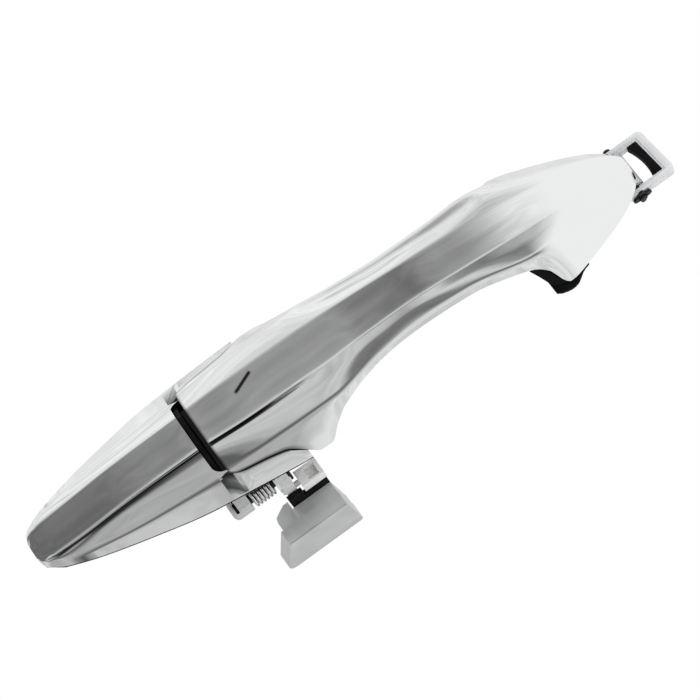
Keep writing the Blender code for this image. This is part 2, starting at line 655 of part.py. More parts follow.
def make_front_carrier(zinc, parent):
    """Casting in the front foot that carries the knuckle round the loop pin."""
    rings = []
    for x in spread((161.0, 174.0, 6)):
        half = curve(BASE_HALF, x) - 5.4
        rings.append(ring_at(x, [(-half, 1.0), (-half * 0.75, 3.2), (half * 0.75, 3.2), (half, 1.0)]))
    carrier = loft("front_carrier", rings, zinc, parent)
    x, y, z = HINGE
    arm_half = 5.2
    arm_outline = [(-3.6, 163.0), (-3.6, 174.6), (-1.0, 175.4), (y, x + 3.4), (y + 3.2, x), (y, x - 4.0),
                   (-0.6, 163.0)]
    arm = loft("carrier_arm", [[(px, py, pz) for py, px in arm_outline] for pz in (z - arm_half, z + arm_half)],
               parent=parent)
    knuckle = rod("carrier_knuckle", "Z", (x, y), 3.5, z - 7.0, z + 7.0, parent=parent)
    join(carrier, arm, knuckle)
    cut(carrier, rod("carrier_bore", "Z", (x, y), 2.6 + FIT, z - 12, z + 12, parent=parent))
    return carrier


def make_carrier_bush(nylon, parent):
    x, y, z = HINGE
    bush = rod("carrier_bush", "Z", (x, y), 2.6, z - 7.0, z + 7.0, nylon, parent)
    cut(bush, rod("bush_bore", "Z", (x, y), LOOP_PIN_RADIUS + FIT, z - 12, z + 12, parent=parent))
    return bush


HOOK_ARM_X = (21.5, 25.5)
HOOK_Z = (-2.0, 6.0)
HOOK_LIP_Y = (25.9, 28.5)


def make_tail_hook(zinc, parent):
    """Casting under the grip's tail whose arm reaches into the door and hooks behind the lever finger."""
    plate = box("tail_hook", (16.5, RIM_Y - 11.4, -5.5), (30.0, RIM_Y - 9.3, 9.0), zinc, parent)
    arm = box("hook_arm", (HOOK_ARM_X[0], RIM_Y - 10.0, HOOK_Z[0]), (HOOK_ARM_X[1], HOOK_LIP_Y[1] - 0.2, HOOK_Z[1]),
              parent=parent)
    lip = box("hook_lip", (12.4, HOOK_LIP_Y[0], HOOK_Z[0] + 0.1), (HOOK_ARM_X[1] - 0.1, HOOK_LIP_Y[1], HOOK_Z[1] - 0.1),
              parent=parent)
    join(plate, arm, lip)
    return plate


def make_grip_stiffener(steel, parent):
    """Pressed steel bar along the grip, between the two shells."""
    rings = []
    for x in spread((64.0, 114.0, 8)):
        level = curve(CREST_HEIGHT, x) - WALL - 3.4
        rings.append(ring_at(x, [(-6.5, level), (-6.5, level + 1.2), (6.5, level + 1.2), (6.5, level)]))
    return loft("grip_stiffener", rings, steel, parent)


# ---- release lever -------------------------------------------------------------------------
HUB_X = (13.2, 18.7)
HUB_RADIUS = 4.9
FINGER_LENGTH = 21.0
FINGER_LEAN = 18.0           # degrees that the finger leans into the door at rest
FINGER_HALF = 2.0
ARM_UNDERSIDE_Z = -23.0
STEM_RADIUS = 1.1


def make_bell_crank(zinc, parent):
    """Lever with a hub, a finger that the tail hook pulls and an arm that carries the weight."""
    y, z = LEVER_AXIS[1:]
    crank = rod("bell_crank", "X", (y, z), HUB_RADIUS, *HUB_X, zinc, parent, 32)
    lean = math.radians(90 - FINGER_LEAN)
    along = (math.cos(lean), math.sin(lean))
    across = (-along[1], along[0])
    tip = (y + along[0] * (FINGER_LENGTH - FINGER_HALF), z + along[1] * (FINGER_LENGTH - FINGER_HALF))
    root_half = 2.2
    angle = 90 - FINGER_LEAN
    finger = [(y - across[0] * root_half, z - across[1] * root_half)]
    finger += arc(tip, FINGER_HALF, angle - 90, angle + 90, 7)
    finger += [(y + across[0] * root_half, z + across[1] * root_half)]
    rest = WEIGHT_Z[1] + FIT
    arm = [(12.0, -18.5), (14.0, ARM_UNDERSIDE_Z), (30.6, ARM_UNDERSIDE_Z), (30.6, rest),
           (WEIGHT_FRONT_Y + 9.5, rest), (WEIGHT_FRONT_Y + 9.5, -21.4), (28.0, -21.4), (24.5, -18.2), (20.0, -14.0)]
    join(crank, prism("crank_finger", "X", finger, HUB_X[0] + 0.2, HUB_X[1] - 0.2, parent=parent),
         prism("crank_arm", "X", arm, HUB_X[0] + 1.3, HUB_X[1] - 0.1, parent=parent))
    cut(crank, rod("hub_bore", "X", (y, z), 2.9 + FIT, 5.0, 30.0, parent=parent),
        rod("stem_bore", "X", CLIP_AXIS[1:], STEM_RADIUS + FIT, 5.0, 30.0, parent=parent, sides=16),
        rod("arm_rivet_bore", "Z", RIVET_PLACE, 1.5 + FIT, -30.0, -10.0, parent=parent, sides=16))
    return crank


def make_lever_bush(nylon, parent):
    bush = rod("lever_bush", "X", LEVER_AXIS[1:], 2.9, *HUB_X, nylon, parent)
    cut(bush, rod("lever_bush_bore", "X", LEVER_AXIS[1:], PIN_RADIUS + FIT, 5.0, 30.0, parent=parent))
    return bush


WEIGHT_FRONT_Y = 27.0
WEIGHT_BACK_Y = 47.1
WEIGHT_Z = (-36.4, -25.4)
WEIGHT_LEFT = (4.8, -0.6)     # left side at the front and at the back
WEIGHT_RIGHT = (29.8, 31.7)


def make_counterweight(zinc, parent):
    """Die-cast inertia weight, wider at the back, with a stepped top."""
    front, back = WEIGHT_FRONT_Y, WEIGHT_BACK_Y
    low, high = WEIGHT_Z
    step = 4.7
    left = WEIGHT_LEFT
    right = WEIGHT_RIGHT
    corners = [(left[0], front), (right[0], front), (right[1], back), (left[1], back)]
    body = loft("counterweight", [[(x, y, z) for x, y in corners] for z in (low, high - step)], zinc, parent, None)
    upper = [(12.6, front + 0.1), (right[0] - 0.2, front + 0.1), (right[1] - 0.2, back - 0.1),
             (12.6, back - 0.1)]
    block = loft("weight_block", [[(x, y, z) for x, y in upper] for z in (low + 1.0, high)], parent=parent, smooth=None)
    lobe_shape = [(5.6, low + 2.0), (12.8, low + 2.0), (12.8, high + 5.2), (10.8, high + 5.2), (6.2, high + 2.6),
                  (5.6, high + 0.6)]
    lobe = loft("weight_lobe", [[(x, y, z) for x, z in lobe_shape] for y in (31.5, back - 0.4)],
                parent=parent, smooth=None)
    join(body, block, lobe)
    cut(body, rod("rivet_bore", "Z", RIVET_PLACE, 1.5 + FIT, low + 3.0, high + 8.0, parent=parent, sides=16))
    return body


RIVET_PLACE = (16.6, 33.0)


def make_weight_rivet(steel, parent):
    """Rivet through the lever's arm into the weight."""
    profile = [(WEIGHT_Z[0] + 4.0, 1.5), (-21.11, 1.5), (-21.1, 2.4), (-20.2, 2.4), (-19.8, 1.6)]
    return turned("weight_rivet", "Z", RIVET_PLACE, profile, steel, parent, 16)


def make_weight_pad(rubber, parent):
    """Rubber rest pad on the weight's top, with a tongue under the lever's arm."""
    low = WEIGHT_Z[1] + FIT
    pad = box("weight_pad", (19.3, 24.6, low), (29.6, 30.0, low + 2.2), rubber, parent)
    join(pad, box("pad_tongue", (13.6, 20.0, low), (19.8, 30.1, ARM_UNDERSIDE_Z - FIT), parent=parent))
    return pad


def make_rod_clip(plastic, parent):
    """White clip that holds the latch rod, turning on its stem in the lever's arm."""
    y, z = CLIP_AXIS[1:]
    clip = box("rod_clip", (20.6, 17.6, -25.2), (30.0, 22.4, -17.8), plastic, parent)
    add_bevel(clip, 0.5)
    join(clip, turned("clip_stem", "X", (y, z), [(13.4, 0.8), (13.9, STEM_RADIUS), (21.5, STEM_RADIUS)],
                      parent=parent, sides=16))
    cut(clip, box("rod_slot", (24.2, 15.0, -24.0), (28.4, 21.2, -19.2), parent=parent))
    return clip


# ---- the whole object ----------------------------------------------------------------------
def build():
    for thing in list(bpy.data.objects):
        bpy.data.objects.remove(thing, do_unlink=True)
    chrome = material("chrome_plate", (0.72, 0.73, 0.74), 0.06, 1.0)
    zinc = material("cast_zinc", (0.55, 0.56, 0.57), 0.38, 1.0)
    loop_zinc = material("loop_zinc", (0.75, 0.76, 0.77), 0.25, 1.0)
    steel = material("steel", (0.58, 0.58, 0.57), 0.3, 1.0)
    dark = material("black_steel", (0.03, 0.03, 0.03), 0.4, 0.8)
    rubber = material("black_rubber", (0.012, 0.012, 0.012), 0.75, 0.0)
    black_plastic = material("black_plastic", (0.02, 0.02, 0.02), 0.5, 0.0)
    white_plastic = material("white_plastic", (0.82, 0.82, 0.80), 0.42, 0.0)
    nylon = material("nylon", (0.75, 0.73, 0.66), 0.5, 0.0)

    handle_axis = axis_empty("handle_axis", HINGE)
    lever_axis = axis_empty("lever_axis", LEVER_AXIS)
    clip_axis = axis_empty("clip_axis", CLIP_AXIS)
    bpy.context.view_layer.update()

    make_end_cap(chrome)
    make_rear_gasket(rubber)
    make_base_bracket(zinc)
    make_mount_insert(steel)
    make_gap_seal(rubber)
    make_lever_pin(dark)
    make_lever_pin_clip(dark)
    make_return_spring(steel)
    for number, x in enumerate(CAP_POSTS):
        pan_screw(f"cap_screw_{number + 1}", "Y", (centre_z(x), x), PLATE_BACK_Y + FIT, -6.0, steel)

    make_pivot_loop(loop_zinc)
    make_loop_liner(rubber)
    make_loop_pin(dark)
    make_loop_pin_clip(dark)
    make_front_gasket(rubber)

    make_grip_outer_shell(chrome, handle_axis)
    make_grip_back_shell(black_plastic, handle_axis)
    make_grip_screws(steel, handle_axis)
    make_foot_heel(rubber, handle_axis)
    make_front_carrier(zinc, handle_axis)
    make_carrier_bush(nylon, handle_axis)
    make_tail_hook(zinc, handle_axis)
    make_grip_stiffener(steel, handle_axis)

    make_bell_crank(zinc, lever_axis)
    make_lever_bush(nylon, lever_axis)
    make_counterweight(zinc, lever_axis)
    make_weight_rivet(steel, lever_axis)
    make_weight_pad(rubber, lever_axis)
    make_rod_clip(white_plastic, clip_axis)
    bpy.context.view_layer.update()


build()
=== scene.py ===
"""Looks of a chrome strap-type car door handle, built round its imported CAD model.

Sizes are in millimetres, in the CAD model's own frame: X along the handle toward the pivot loop,
-Y outward from the door, Z up.  They are turned into metres where a mesh is made.
"""

import math

import bmesh
import bpy
import numpy as np
from mathutils import Matrix, Vector


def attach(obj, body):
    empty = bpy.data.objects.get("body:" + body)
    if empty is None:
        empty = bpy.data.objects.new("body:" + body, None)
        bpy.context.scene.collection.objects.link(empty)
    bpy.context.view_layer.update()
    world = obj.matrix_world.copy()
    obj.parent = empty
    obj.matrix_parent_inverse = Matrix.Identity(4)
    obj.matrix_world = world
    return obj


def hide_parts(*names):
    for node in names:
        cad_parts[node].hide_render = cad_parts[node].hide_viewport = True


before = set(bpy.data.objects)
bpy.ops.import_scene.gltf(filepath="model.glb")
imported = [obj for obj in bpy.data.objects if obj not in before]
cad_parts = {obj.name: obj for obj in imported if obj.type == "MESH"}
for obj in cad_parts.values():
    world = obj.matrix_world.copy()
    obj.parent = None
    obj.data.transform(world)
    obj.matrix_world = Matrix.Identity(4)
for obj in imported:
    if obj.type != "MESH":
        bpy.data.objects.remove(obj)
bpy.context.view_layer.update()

MM = 0.001

# ---- the handle's design curves, as the CAD model has them (mm) ---------------------------
CAP_TIP_X = -70.0
CAP_END_X = -1.2
GRIP_START_X = 3.0
GRIP_END_X = 180.0
TRAY_END_X = 30.0
RIM_Y = -1.5
CENTRE_Z_AT_GAP = 3.15
CENTRE_SLOPE = -0.0555
WALL = 2.2

CREST_HEIGHT = [(-70, 1.6), (-66, 3.0), (-60, 4.4), (-50, 6.6), (-30, 10.9), (-10, 13.4), (0, 14.6),
                (20, 15.5), (50, 18.0), (70, 19.8), (90, 20.5), (110, 19.4), (130, 17.9),
                (150, 15.6), (165, 12.2), (175, 8.2), (180, 5.0)]
FACET_HALF = [(-70, 2.9), (-69.3, 4.6), (-68, 5.9), (-66, 6.6), (-50, 7.4), (0, 7.8), (20, 8.4),
              (50, 8.4), (70, 7.9), (90, 7.3), (130, 6.8), (150, 6.0), (165, 4.8), (176, 3.3),
              (180, 2.2)]
BAND_HALF = [(-70, 3.5), (-69.4, 5.4), (-68.3, 7.1), (-66.5, 8.5), (-60, 10.7), (-50, 12.7),
             (-30, 15.3), (0, 17.5), (20, 18.3), (48, 18.8), (60, 16.8), (70, 15.1),
             (90, 13.4), (110, 13.4), (120, 14.5), (132, 16.0), (140, 15.1), (150, 12.7),
             (160, 9.7), (170, 7.4), (177, 5.6), (180, 3.4)]
CAP_BAND_HEIGHT = [(-70, 0.9), (-60, 1.6), (-45, 1.7), (-30, 2.3), (-15, 3.4), (0, 4.8)]
GRIP_BAND_HEIGHT = [(0, 7.4), (20, 9.8), (40, 11.8), (60, 13.2), (80, 15.2), (100, 15.9),
                    (120, 15.1), (140, 13.2), (160, 10.8), (170, 8.2), (180, 3.4)]
BASE_HALF = [(-70, 4.1), (-69.5, 6.2), (-68.4, 8.2), (-66.5, 9.8), (-60, 12.5), (-50, 15.7),
             (-30, 20.4), (-10, 24.2), (5, 25.6), (18, 26.8), (30, 27.6), (40, 27.4),
             (50, 26.4), (60, 21.3), (70, 16.4), (80, 14.7), (100, 13.9), (110, 15.3),
             (120, 18.6), (130, 21.8), (135, 24.8), (140, 25.7), (145, 24.1), (155, 20.7),
             (165, 16.7), (173, 12.6), (177, 9.6), (180, 5.2)]
GRIP_EDGE = [(3, 7.1), (4, 6.5), (6, 6.15), (15, 6.2), (23, 5.8), (27, 4.4), (31, 1.9), (34, 0.3),
             (38, 0.3), (44, 4.6), (50, 8.2), (60, 10.2), (80, 11.5), (110, 11.5),
             (122, 10.8), (130, 9.6), (135, 6.4), (137, 2.2), (139, 0.3), (180, 0.3)]
UPPER_FLARE = [(36, 0.0), (50, 0.8), (60, 2.4), (75, 3.6), (90, 4.2), (112, 4.8), (122, 4.4),
               (132, 2.6), (140, 0.0)]
FLANGE_HEIGHT = [(-4, 5.2), (15, 5.5), (23, 5.1), (27, 3.7), (30, 2.2)]
FLAT_EDGE = [(CAP_TIP_X, 0.0), (CAP_END_X, 0.0)]

HINGE = (178.5, 4.2, -5.8)
LEVER_AXIS = (16.0, 16.5, -17.0)
CLIP_AXIS = (20.0, 21.2, -20.9)


# ---- curves ----------------------------------------------------------------------------------
def curve(table, x):
    """Smooth value at x through the table's points, without overshoot (monotone cubic)."""
    xs = [p[0] for p in table]
    ys = [p[1] for p in table]
    if x <= xs[0]:
        return ys[0]
    if x >= xs[-1]:
        return ys[-1]
    steps = [(ys[i + 1] - ys[i]) / (xs[i + 1] - xs[i]) for i in range(len(xs) - 1)]
    slopes = [steps[0]]
    for before, after in zip(steps, steps[1:]):
        slopes.append(0.0 if before * after <= 0 else 2 * before * after / (before + after))
    slopes.append(steps[-1])
    i = max(k for k in range(len(xs) - 1) if xs[k] <= x)
    width = xs[i + 1] - xs[i]
    t = (x - xs[i]) / width
    return (ys[i] * (1 + 2 * t) * (1 - t) ** 2 + ys[i + 1] * t * t * (3 - 2 * t)
            + width * t * (1 - t) * (slopes[i] * (1 - t) - slopes[i + 1] * t))


SOFTEN_REACH = 5.0           # the skins' curves are averaged this far to both sides


def soft_curve(table, x):
    """The curve averaged over a short stretch, so that reflections flow across its points."""
    reach = min(SOFTEN_REACH, x - table[0][0], table[-1][0] - x)
    if reach <= 0.2:
        return curve(table, x)
    offsets = (-1.0, -0.5, 0.0, 0.5, 1.0)
    weights = (1, 3, 4, 3, 1)
    return sum(w * curve(table, x + o * reach) for o, w in zip(offsets, weights)) / sum(weights)


def smoothstep(low, high, value):
    t = min(max((value - low) / (high - low), 0.0), 1.0)
    return t * t * (3 - 2 * t)


def centre_z(x):
    return CENTRE_Z_AT_GAP + CENTRE_SLOPE * x


def ring_at(x, outline):
    """Outline points (sideways, height) as points in space."""
    middle = centre_z(x)
    return [(x, RIM_Y - height, middle + sideways) for sideways, height in outline]


# ---- mesh helpers ----------------------------------------------------------------------------
def mesh_object(name, points, faces, finish=None, smooth=35):
    """One object from points in mm and faces."""
    mesh = bpy.data.meshes.new(name)
    mesh.from_pydata([tuple(Vector(p) * MM) for p in points], [], faces)
    tidy = bmesh.new()
    tidy.from_mesh(mesh)
    bmesh.ops.recalc_face_normals(tidy, faces=tidy.faces)
    tidy.to_mesh(mesh)
    tidy.free()
    if smooth:
        mesh.shade_smooth()
        mesh.set_sharp_from_angle(angle=math.radians(smooth))
    made = bpy.data.objects.new(name, mesh)
    bpy.context.scene.collection.objects.link(made)
    if finish:
        mesh.materials.append(finish)
    return made


def loft(name, rings, finish=None, smooth=35):
    """Closed solid through rings that all have the same number of points."""
    count = len(rings[0])
    points = [p for ring in rings for p in ring]
    faces = []
    for i in range(len(rings) - 1):
        for j in range(count):
            k = (j + 1) % count
            faces.append((i * count + j, i * count + k, (i + 1) * count + k, (i + 1) * count + j))
    faces.append(tuple(range(count)))
    faces.append(tuple(len(points) - 1 - j for j in range(count)))
    return mesh_object(name, points, faces, finish, smooth)


AXES = {"X": lambda a, b, t: (t, a, b), "Y": lambda a, b, t: (b, t, a), "Z": lambda a, b, t: (a, b, t)}


def turned(name, axis, centre, profile, finish=None, sides=48, smooth=40):
    """Round solid on an axis: profile is (place along the axis, radius), centre across the axis."""
    put = AXES[axis]
    rings = []
    for along, radius in profile:
        turn = [2 * math.pi * k / sides for k in range(sides)]
        rings.append([put(centre[0] + radius * math.cos(t), centre[1] + radius * math.sin(t), along)
                      for t in turn])
    return loft(name, rings, finish, smooth)


def prism(name, axis, outline, start, end, finish=None, smooth=35):
    put = AXES[axis]
    return loft(name, [[put(a, b, t) for a, b in outline] for t in (start, end)], finish, smooth)


def block(name, low, high, finish=None):
    outline = [(low[0], low[1]), (high[0], low[1]), (high[0], high[1]), (low[0], high[1])]
    return prism(name, "Z", outline, low[2], high[2], finish, None)


def arc(centre, radius, start, end, count):
    turn = [math.radians(start + (end - start) * k / (count - 1)) for k in range(count)]
    return [(centre[0] + radius * math.cos(t), centre[1] + radius * math.sin(t)) for t in turn]


def rounded_box_outline(low, high, radius, count=7):
    inner = (low[0] + radius, low[1] + radius, high[0] - radius, high[1] - radius)
    return (arc((inner[2], inner[1]), radius, -90, 0, count)
            + arc((inner[2], inner[3]), radius, 0, 90, count)
            + arc((inner[0], inner[3]), radius, 90, 180, count)
            + arc((inner[0], inner[1]), radius, 180, 270, count))


def settle(thing, smooth=35):
    """Applies the modifiers, so that the tools they use can go."""
    bpy.context.view_layer.update()
    shaped = thing.evaluated_get(bpy.context.evaluated_depsgraph_get())
    mesh = bpy.data.meshes.new_from_object(shaped)
    thing.modifiers.clear()
    thing.data = mesh
    if smooth:
        mesh.shade_smooth()
        mesh.set_sharp_from_angle(angle=math.radians(smooth))
    return thing


def combined(thing, tools, operation, smooth=35):
    for tool in tools:
        modifier = thing.modifiers.new(tool.name, "BOOLEAN")
        modifier.operation = operation
        modifier.solver = "EXACT"
        modifier.object = tool
    settle(thing, smooth)
    for tool in tools:
        bpy.data.objects.remove(tool, do_unlink=True)
    return thing


def bevelled(thing, width, segments=3, angle=35):
    modifier = thing.modifiers.new("bevel", "BEVEL")
    modifier.width = width * MM
    modifier.segments = segments
    modifier.limit_method = "ANGLE"
    modifier.angle_limit = math.radians(angle)
    modifier.use_clamp_overlap = True
    return settle(thing, 50)


def place(thing, body, slot, *nodes):
    """Puts a piece on its CAD body, in place of the CAD nodes it stands for."""
    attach(thing, body)
    if nodes:
        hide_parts(*nodes)
    return thing


# ---- materials -------------------------------------------------------------------------------
def new_material(name, colour, roughness, metallic=0.0):
    made = bpy.data.materials.new(name)
    made.use_nodes = True
    shader = made.node_tree.nodes["Principled BSDF"]
    shader.inputs["Base Color"].default_value = (*colour, 1.0)
    shader.inputs["Roughness"].default_value = roughness
    shader.inputs["Metallic"].default_value = metallic
    made.diffuse_color = (*colour, 1.0)
    return made


def noise(made, scale, detail=3.0, stretch=(1.0, 1.0, 1.0)):
    """Noise over the object's own space; scale is in features per metre."""
    nodes, links = made.node_tree.nodes, made.node_tree.links
    where = nodes.new("ShaderNodeTexCoord")
    mapping = nodes.new("ShaderNodeMapping")
    mapping.inputs["Scale"].default_value = stretch
    texture = nodes.new("ShaderNodeTexNoise")
    texture.inputs["Scale"].default_value = scale
    texture.inputs["Detail"].default_value = detail
    links.new(where.outputs["Object"], mapping.inputs["Vector"])
    links.new(mapping.outputs["Vector"], texture.inputs["Vector"])
    return texture.outputs["Fac"]


def ranged(made, source, low, high):
    """The 0.3 to 0.7 part of a noise stretched to low..high."""
    node = made.node_tree.nodes.new("ShaderNodeMapRange")
    node.inputs["From Min"].default_value = 0.3
    node.inputs["From Max"].default_value = 0.7
    node.inputs["To Min"].default_value = low
    node.inputs["To Max"].default_value = high
    made.node_tree.links.new(source, node.inputs["Value"])
    return node.outputs["Result"]


def mix_colours(tree, factor, a, b):
    """Colour from a to b by a 0..1 factor; a and b are colours or sockets."""
    node = tree.nodes.new("ShaderNodeMix")
    node.data_type = "RGBA"
    tree.links.new(factor, node.inputs[0])
    for socket, value in ((node.inputs[6], a), (node.inputs[7], b)):
        if isinstance(value, tuple):
            socket.default_value = value
        else:
            tree.links.new(value, socket)
    return node.outputs[2]


def mixed(made, source, dark, light):
    """Colour between dark and light by a 0..1 source."""
    return mix_colours(made.node_tree, source, (*dark, 1.0), (*light, 1.0))


def shader_of(made):
    return made.node_tree.nodes["Principled BSDF"]


def bump(made, source, height_mm, strength=1.0):
    node = made.node_tree.nodes.new("ShaderNodeBump")
    node.inputs["Strength"].default_value = strength
    node.inputs["Distance"].default_value = height_mm * MM
    made.node_tree.links.new(source, node.inputs["Height"])
    made.node_tree.links.new(node.outputs["Normal"], shader_of(made).inputs["Normal"])


def grained(name, dark, light, roughness, metallic, grain, grain_height, patch=60.0):
    """Moulded or cast finish: soft patches of tone, varied gloss and a fine grain."""
    made = new_material(name, light, 0.5, metallic)
    links = made.node_tree.links
    patches = ranged(made, noise(made, patch, 4.0), 0.0, 1.0)
    links.new(mixed(made, patches, dark, light), shader_of(made).inputs["Base Color"])
    gloss = ranged(made, noise(made, patch * 4, 2.0), *roughness)
    links.new(gloss, shader_of(made).inputs["Roughness"])
    bump(made, noise(made, grain, 5.0), grain_height)
    return made


def tinted_by_painted_light(made, light, dark):
    """Base colour from the mesh's own tone value, which holds painted shade and painted reflection: 1 is
    light, 0 is dark.
    """
    nodes, links = made.node_tree.nodes, made.node_tree.links
    tone = nodes.new("ShaderNodeAttribute")
    tone.attribute_name = "tone"
    colour = mixed(made, tone.outputs["Fac"], dark, light)
    links.new(colour, shader_of(made).inputs["Base Color"])


def chrome_plate():
    """Bright plate: nearly a mirror, with the faint waviness of a moulded part under it."""
    made = new_material("chrome_plate", (0.9, 0.905, 0.91), 0.05, 1.0)
    # Painted shade and painted reflection: the plate's colour goes dark where the mesh's tone value is
    # low.
    tinted_by_painted_light(made, (0.93, 0.935, 0.94), (0.015, 0.015, 0.017))
    gloss = ranged(made, noise(made, 120.0, 3.0), 0.035, 0.09)
    made.node_tree.links.new(gloss, shader_of(made).inputs["Roughness"])
    bump(made, noise(made, 30.0, 1.0, (1.0, 1.0, 2.0)), 0.10)
    return made


def brushed(name, colour, roughness, direction):
    """Drawn or turned steel: fine lines across one direction."""
    made = new_material(name, colour, roughness, 1.0)
    lines = noise(made, 900.0, 3.0, direction)
    gloss = ranged(made, lines, roughness * 0.7, roughness * 1.3)
    made.node_tree.links.new(gloss, shader_of(made).inputs["Roughness"])
    darker = tuple(c * 0.8 for c in colour)
    tone = mixed(made, ranged(made, lines, 0.0, 1.0), darker, colour)
    made.node_tree.links.new(tone, shader_of(made).inputs["Base Color"])
    bump(made, lines, 0.01)
    return made


CHROME = chrome_plate()
CAST_ZINC = grained("cast_zinc", (0.56, 0.565, 0.57), (0.68, 0.685, 0.69), (0.40, 0.52), 0.45,
                    1300.0, 0.012, 110.0)
LOOP_ZINC = grained("loop_zinc", (0.82, 0.83, 0.84), (0.91, 0.92, 0.93), (0.24, 0.36), 0.25,
                    1500.0, 0.003, 120.0)
STEEL = brushed("steel", (0.72, 0.72, 0.71), 0.28, (1.0, 0.1, 1.0))
SPRING_STEEL = brushed("spring_steel", (0.80, 0.80, 0.80), 0.16, (1.0, 1.0, 0.2))
BLACK_STEEL = grained("black_steel", (0.012, 0.012, 0.013), (0.03, 0.03, 0.032), (0.30, 0.45), 0.6,
                      3000.0, 0.01, 200.0)
RUBBER = grained("rubber", (0.003, 0.003, 0.003), (0.008, 0.008, 0.008), (0.65, 0.85), 0.0,
                 4000.0, 0.02, 150.0)
shader_of(RUBBER).inputs["Specular IOR Level"].default_value = 0.12
BLACK_PLASTIC = grained("black_plastic", (0.012, 0.012, 0.013), (0.026, 0.026, 0.027), (0.38, 0.52),
                        0.0, 2600.0, 0.03, 100.0)
WHITE_PLASTIC = grained("white_plastic", (0.84, 0.84, 0.83), (0.92, 0.92, 0.91), (0.32, 0.42), 0.0,
                        1500.0, 0.004, 120.0)
NYLON = grained("nylon", (0.62, 0.60, 0.52), (0.72, 0.70, 0.63), (0.40, 0.50), 0.0, 1500.0, 0.01, 120.0)


# ---- chrome skins ----------------------------------------------------------------------------
def filleted(corners):
    """Open polyline with each inner corner turned into a soft bend.

    A corner is (sideways, height, reach, steps); the bend starts and ends a reach away from it.
    """
    made = [corners[0][:2]]
    for before, here, after in zip(corners, corners[1:], corners[2:]):
        a, b, c = (np.array(p[:2], float) for p in (before, here, after))
        reach_in = min(here[2], 0.48 * np.linalg.norm(b - a))
        reach_out = min(here[2], 0.48 * np.linalg.norm(c - b))
        start = b + (a - b) / np.linalg.norm(a - b) * reach_in
        end = b + (c - b) / np.linalg.norm(c - b) * reach_out
        for k in range(here[3] + 1):
            t = k / here[3]
            made.append(tuple(start * (1 - t) ** 2 + 2 * b * t * (1 - t) + end * t * t))
    made.append(corners[-1][:2])
    return made


WIDE = 50.0                  # a reach longer than any side: the bend takes up the whole side
FACET_BEND = 1.3
BAND_BEND = 1.6
CREASE_WIDTH = 1.7
CREASE_DEPTH = 0.9
SKIN_SMOOTH = 38             # degrees; skins shade as smooth below this angle


def on_line(a, b, distance, drop=0.0):
    """Point on the line from a to b, and a drop below it."""
    a, b = np.array(a, float), np.array(b, float)
    along = (b - a) / np.linalg.norm(b - a)
    across = np.array([along[1], -along[0]])
    return tuple(a + along * distance + across * drop)


def skin_section(x, band_table, edge_height, crease):
    """Outline of the chrome skin at x, from its lower rim over the crest to its upper rim."""
    crest = soft_curve(CREST_HEIGHT, x)
    facet = soft_curve(FACET_HALF, x)
    band = soft_curve(BAND_HALF, x)
    base = soft_curve(BASE_HALF, x)
    flare = soft_curve(UPPER_FLARE, x)
    band_height = max(min(soft_curve(band_table, x), crest - 0.5), edge_height + 0.4)
    edge = base + (band - base) * edge_height / band_height
    drop = band_height - edge_height
    chamfer = (0.5 * (facet + band), 0.5 * (crest - 0.35 + band_height) + 0.35)
    corner = (facet, crest - 0.35)
    lower_chamfer = (-chamfer[0], chamfer[1])
    lower_corner = (-corner[0], corner[1])
    width = min(CREASE_WIDTH, 0.3 * abs(chamfer[0] - facet) + 0.1)
    foot = on_line(lower_corner, lower_chamfer, width)
    bed = on_line(lower_corner, lower_chamfer, width * 0.45, -CREASE_DEPTH * crease)
    lip = 0.2 + (FACET_BEND - 0.2) * (1 - crease)
    corners = [
        (-edge, edge_height, 0, 1),
        (-0.5 * (edge + band), edge_height + 0.5 * drop, WIDE, 5),
        (-band, band_height, BAND_BEND, 6),
        (*lower_chamfer, WIDE, 6),
        (*foot, 0.3, 2),
        (*bed, 0.3, 2),
        (*lower_corner, lip, 4),
        (-0.55 * facet, crest - 0.1, WIDE, 8),
        (0.0, crest, WIDE, 8),
        (0.55 * facet, crest - 0.1, WIDE, 10),
        (*corner, FACET_BEND, 5),
        (*chamfer, WIDE, 6),
        (band, band_height, BAND_BEND, 6),
        (0.5 * (edge + band) + 0.95 * flare, edge_height + (0.5 + 0.05 * flare) * drop, WIDE, 5),
        (edge + flare, edge_height, 0, 1),
    ]
    return filleted(corners)


def cap_crease(x):
    return smoothstep(-68.0, -62.0, x)


def grip_crease(x):
    return 1.0 - smoothstep(22.0, 52.0, x)


def inward(outline, wall):
    """The open outline moved in by the wall thickness."""
    points = [np.array(p, float) for p in outline]
    normals = []
    for a, b in zip(points, points[1:]):
        length = max(np.linalg.norm(b - a), 1e-6)
        along = (b - a) / length
        normals.append(np.array([along[1], -along[0]]))
    moved = []
    for i, point in enumerate(points):
        before = normals[max(i - 1, 0)]
        after = normals[min(i, len(normals) - 1)]
        mean = (before + after) / np.linalg.norm(before + after)
        moved.append(tuple(point + mean * wall / max(0.7, float(mean @ before))))
    return moved


# Points of the skin's outline that the inside keeps, one in the middle of each bend or side,
# from the lower rim to the upper one: rim, flank, band, chamfer, corner, three on the facet,
# corner, chamfer, band, flank, rim.
INSIDE_POINTS = (0, 4, 10, 17, 29, 36, 45, 55, 63, 70, 77, 84, -1)


def plain_section(x, band_table, edge_height):
    """Coarse outline of the skin, for the inside of the shell."""
    outline = skin_section(x, band_table, edge_height, 0.0)
    return [outline[k] for k in INSIDE_POINTS]


def stations(start, end, step):
    count = max(2, int(round((end - start) / step)))
    return [float(x) for x in np.linspace(start, end, count + 1)]


def set_painted_light(thing, shade):
    """Stores each point's painted shade and painted reflection as its tone: shade takes x and the sideways
    and outward places in mm.
    """
    mesh = thing.data
    attribute = mesh.attributes.new("tone", "FLOAT", "POINT")
    for vertex in mesh.vertices:
        x, y, z = (c / MM for c in vertex.co)
        attribute.data[vertex.index].value = shade(x, z - centre_z(x), RIM_Y - y)


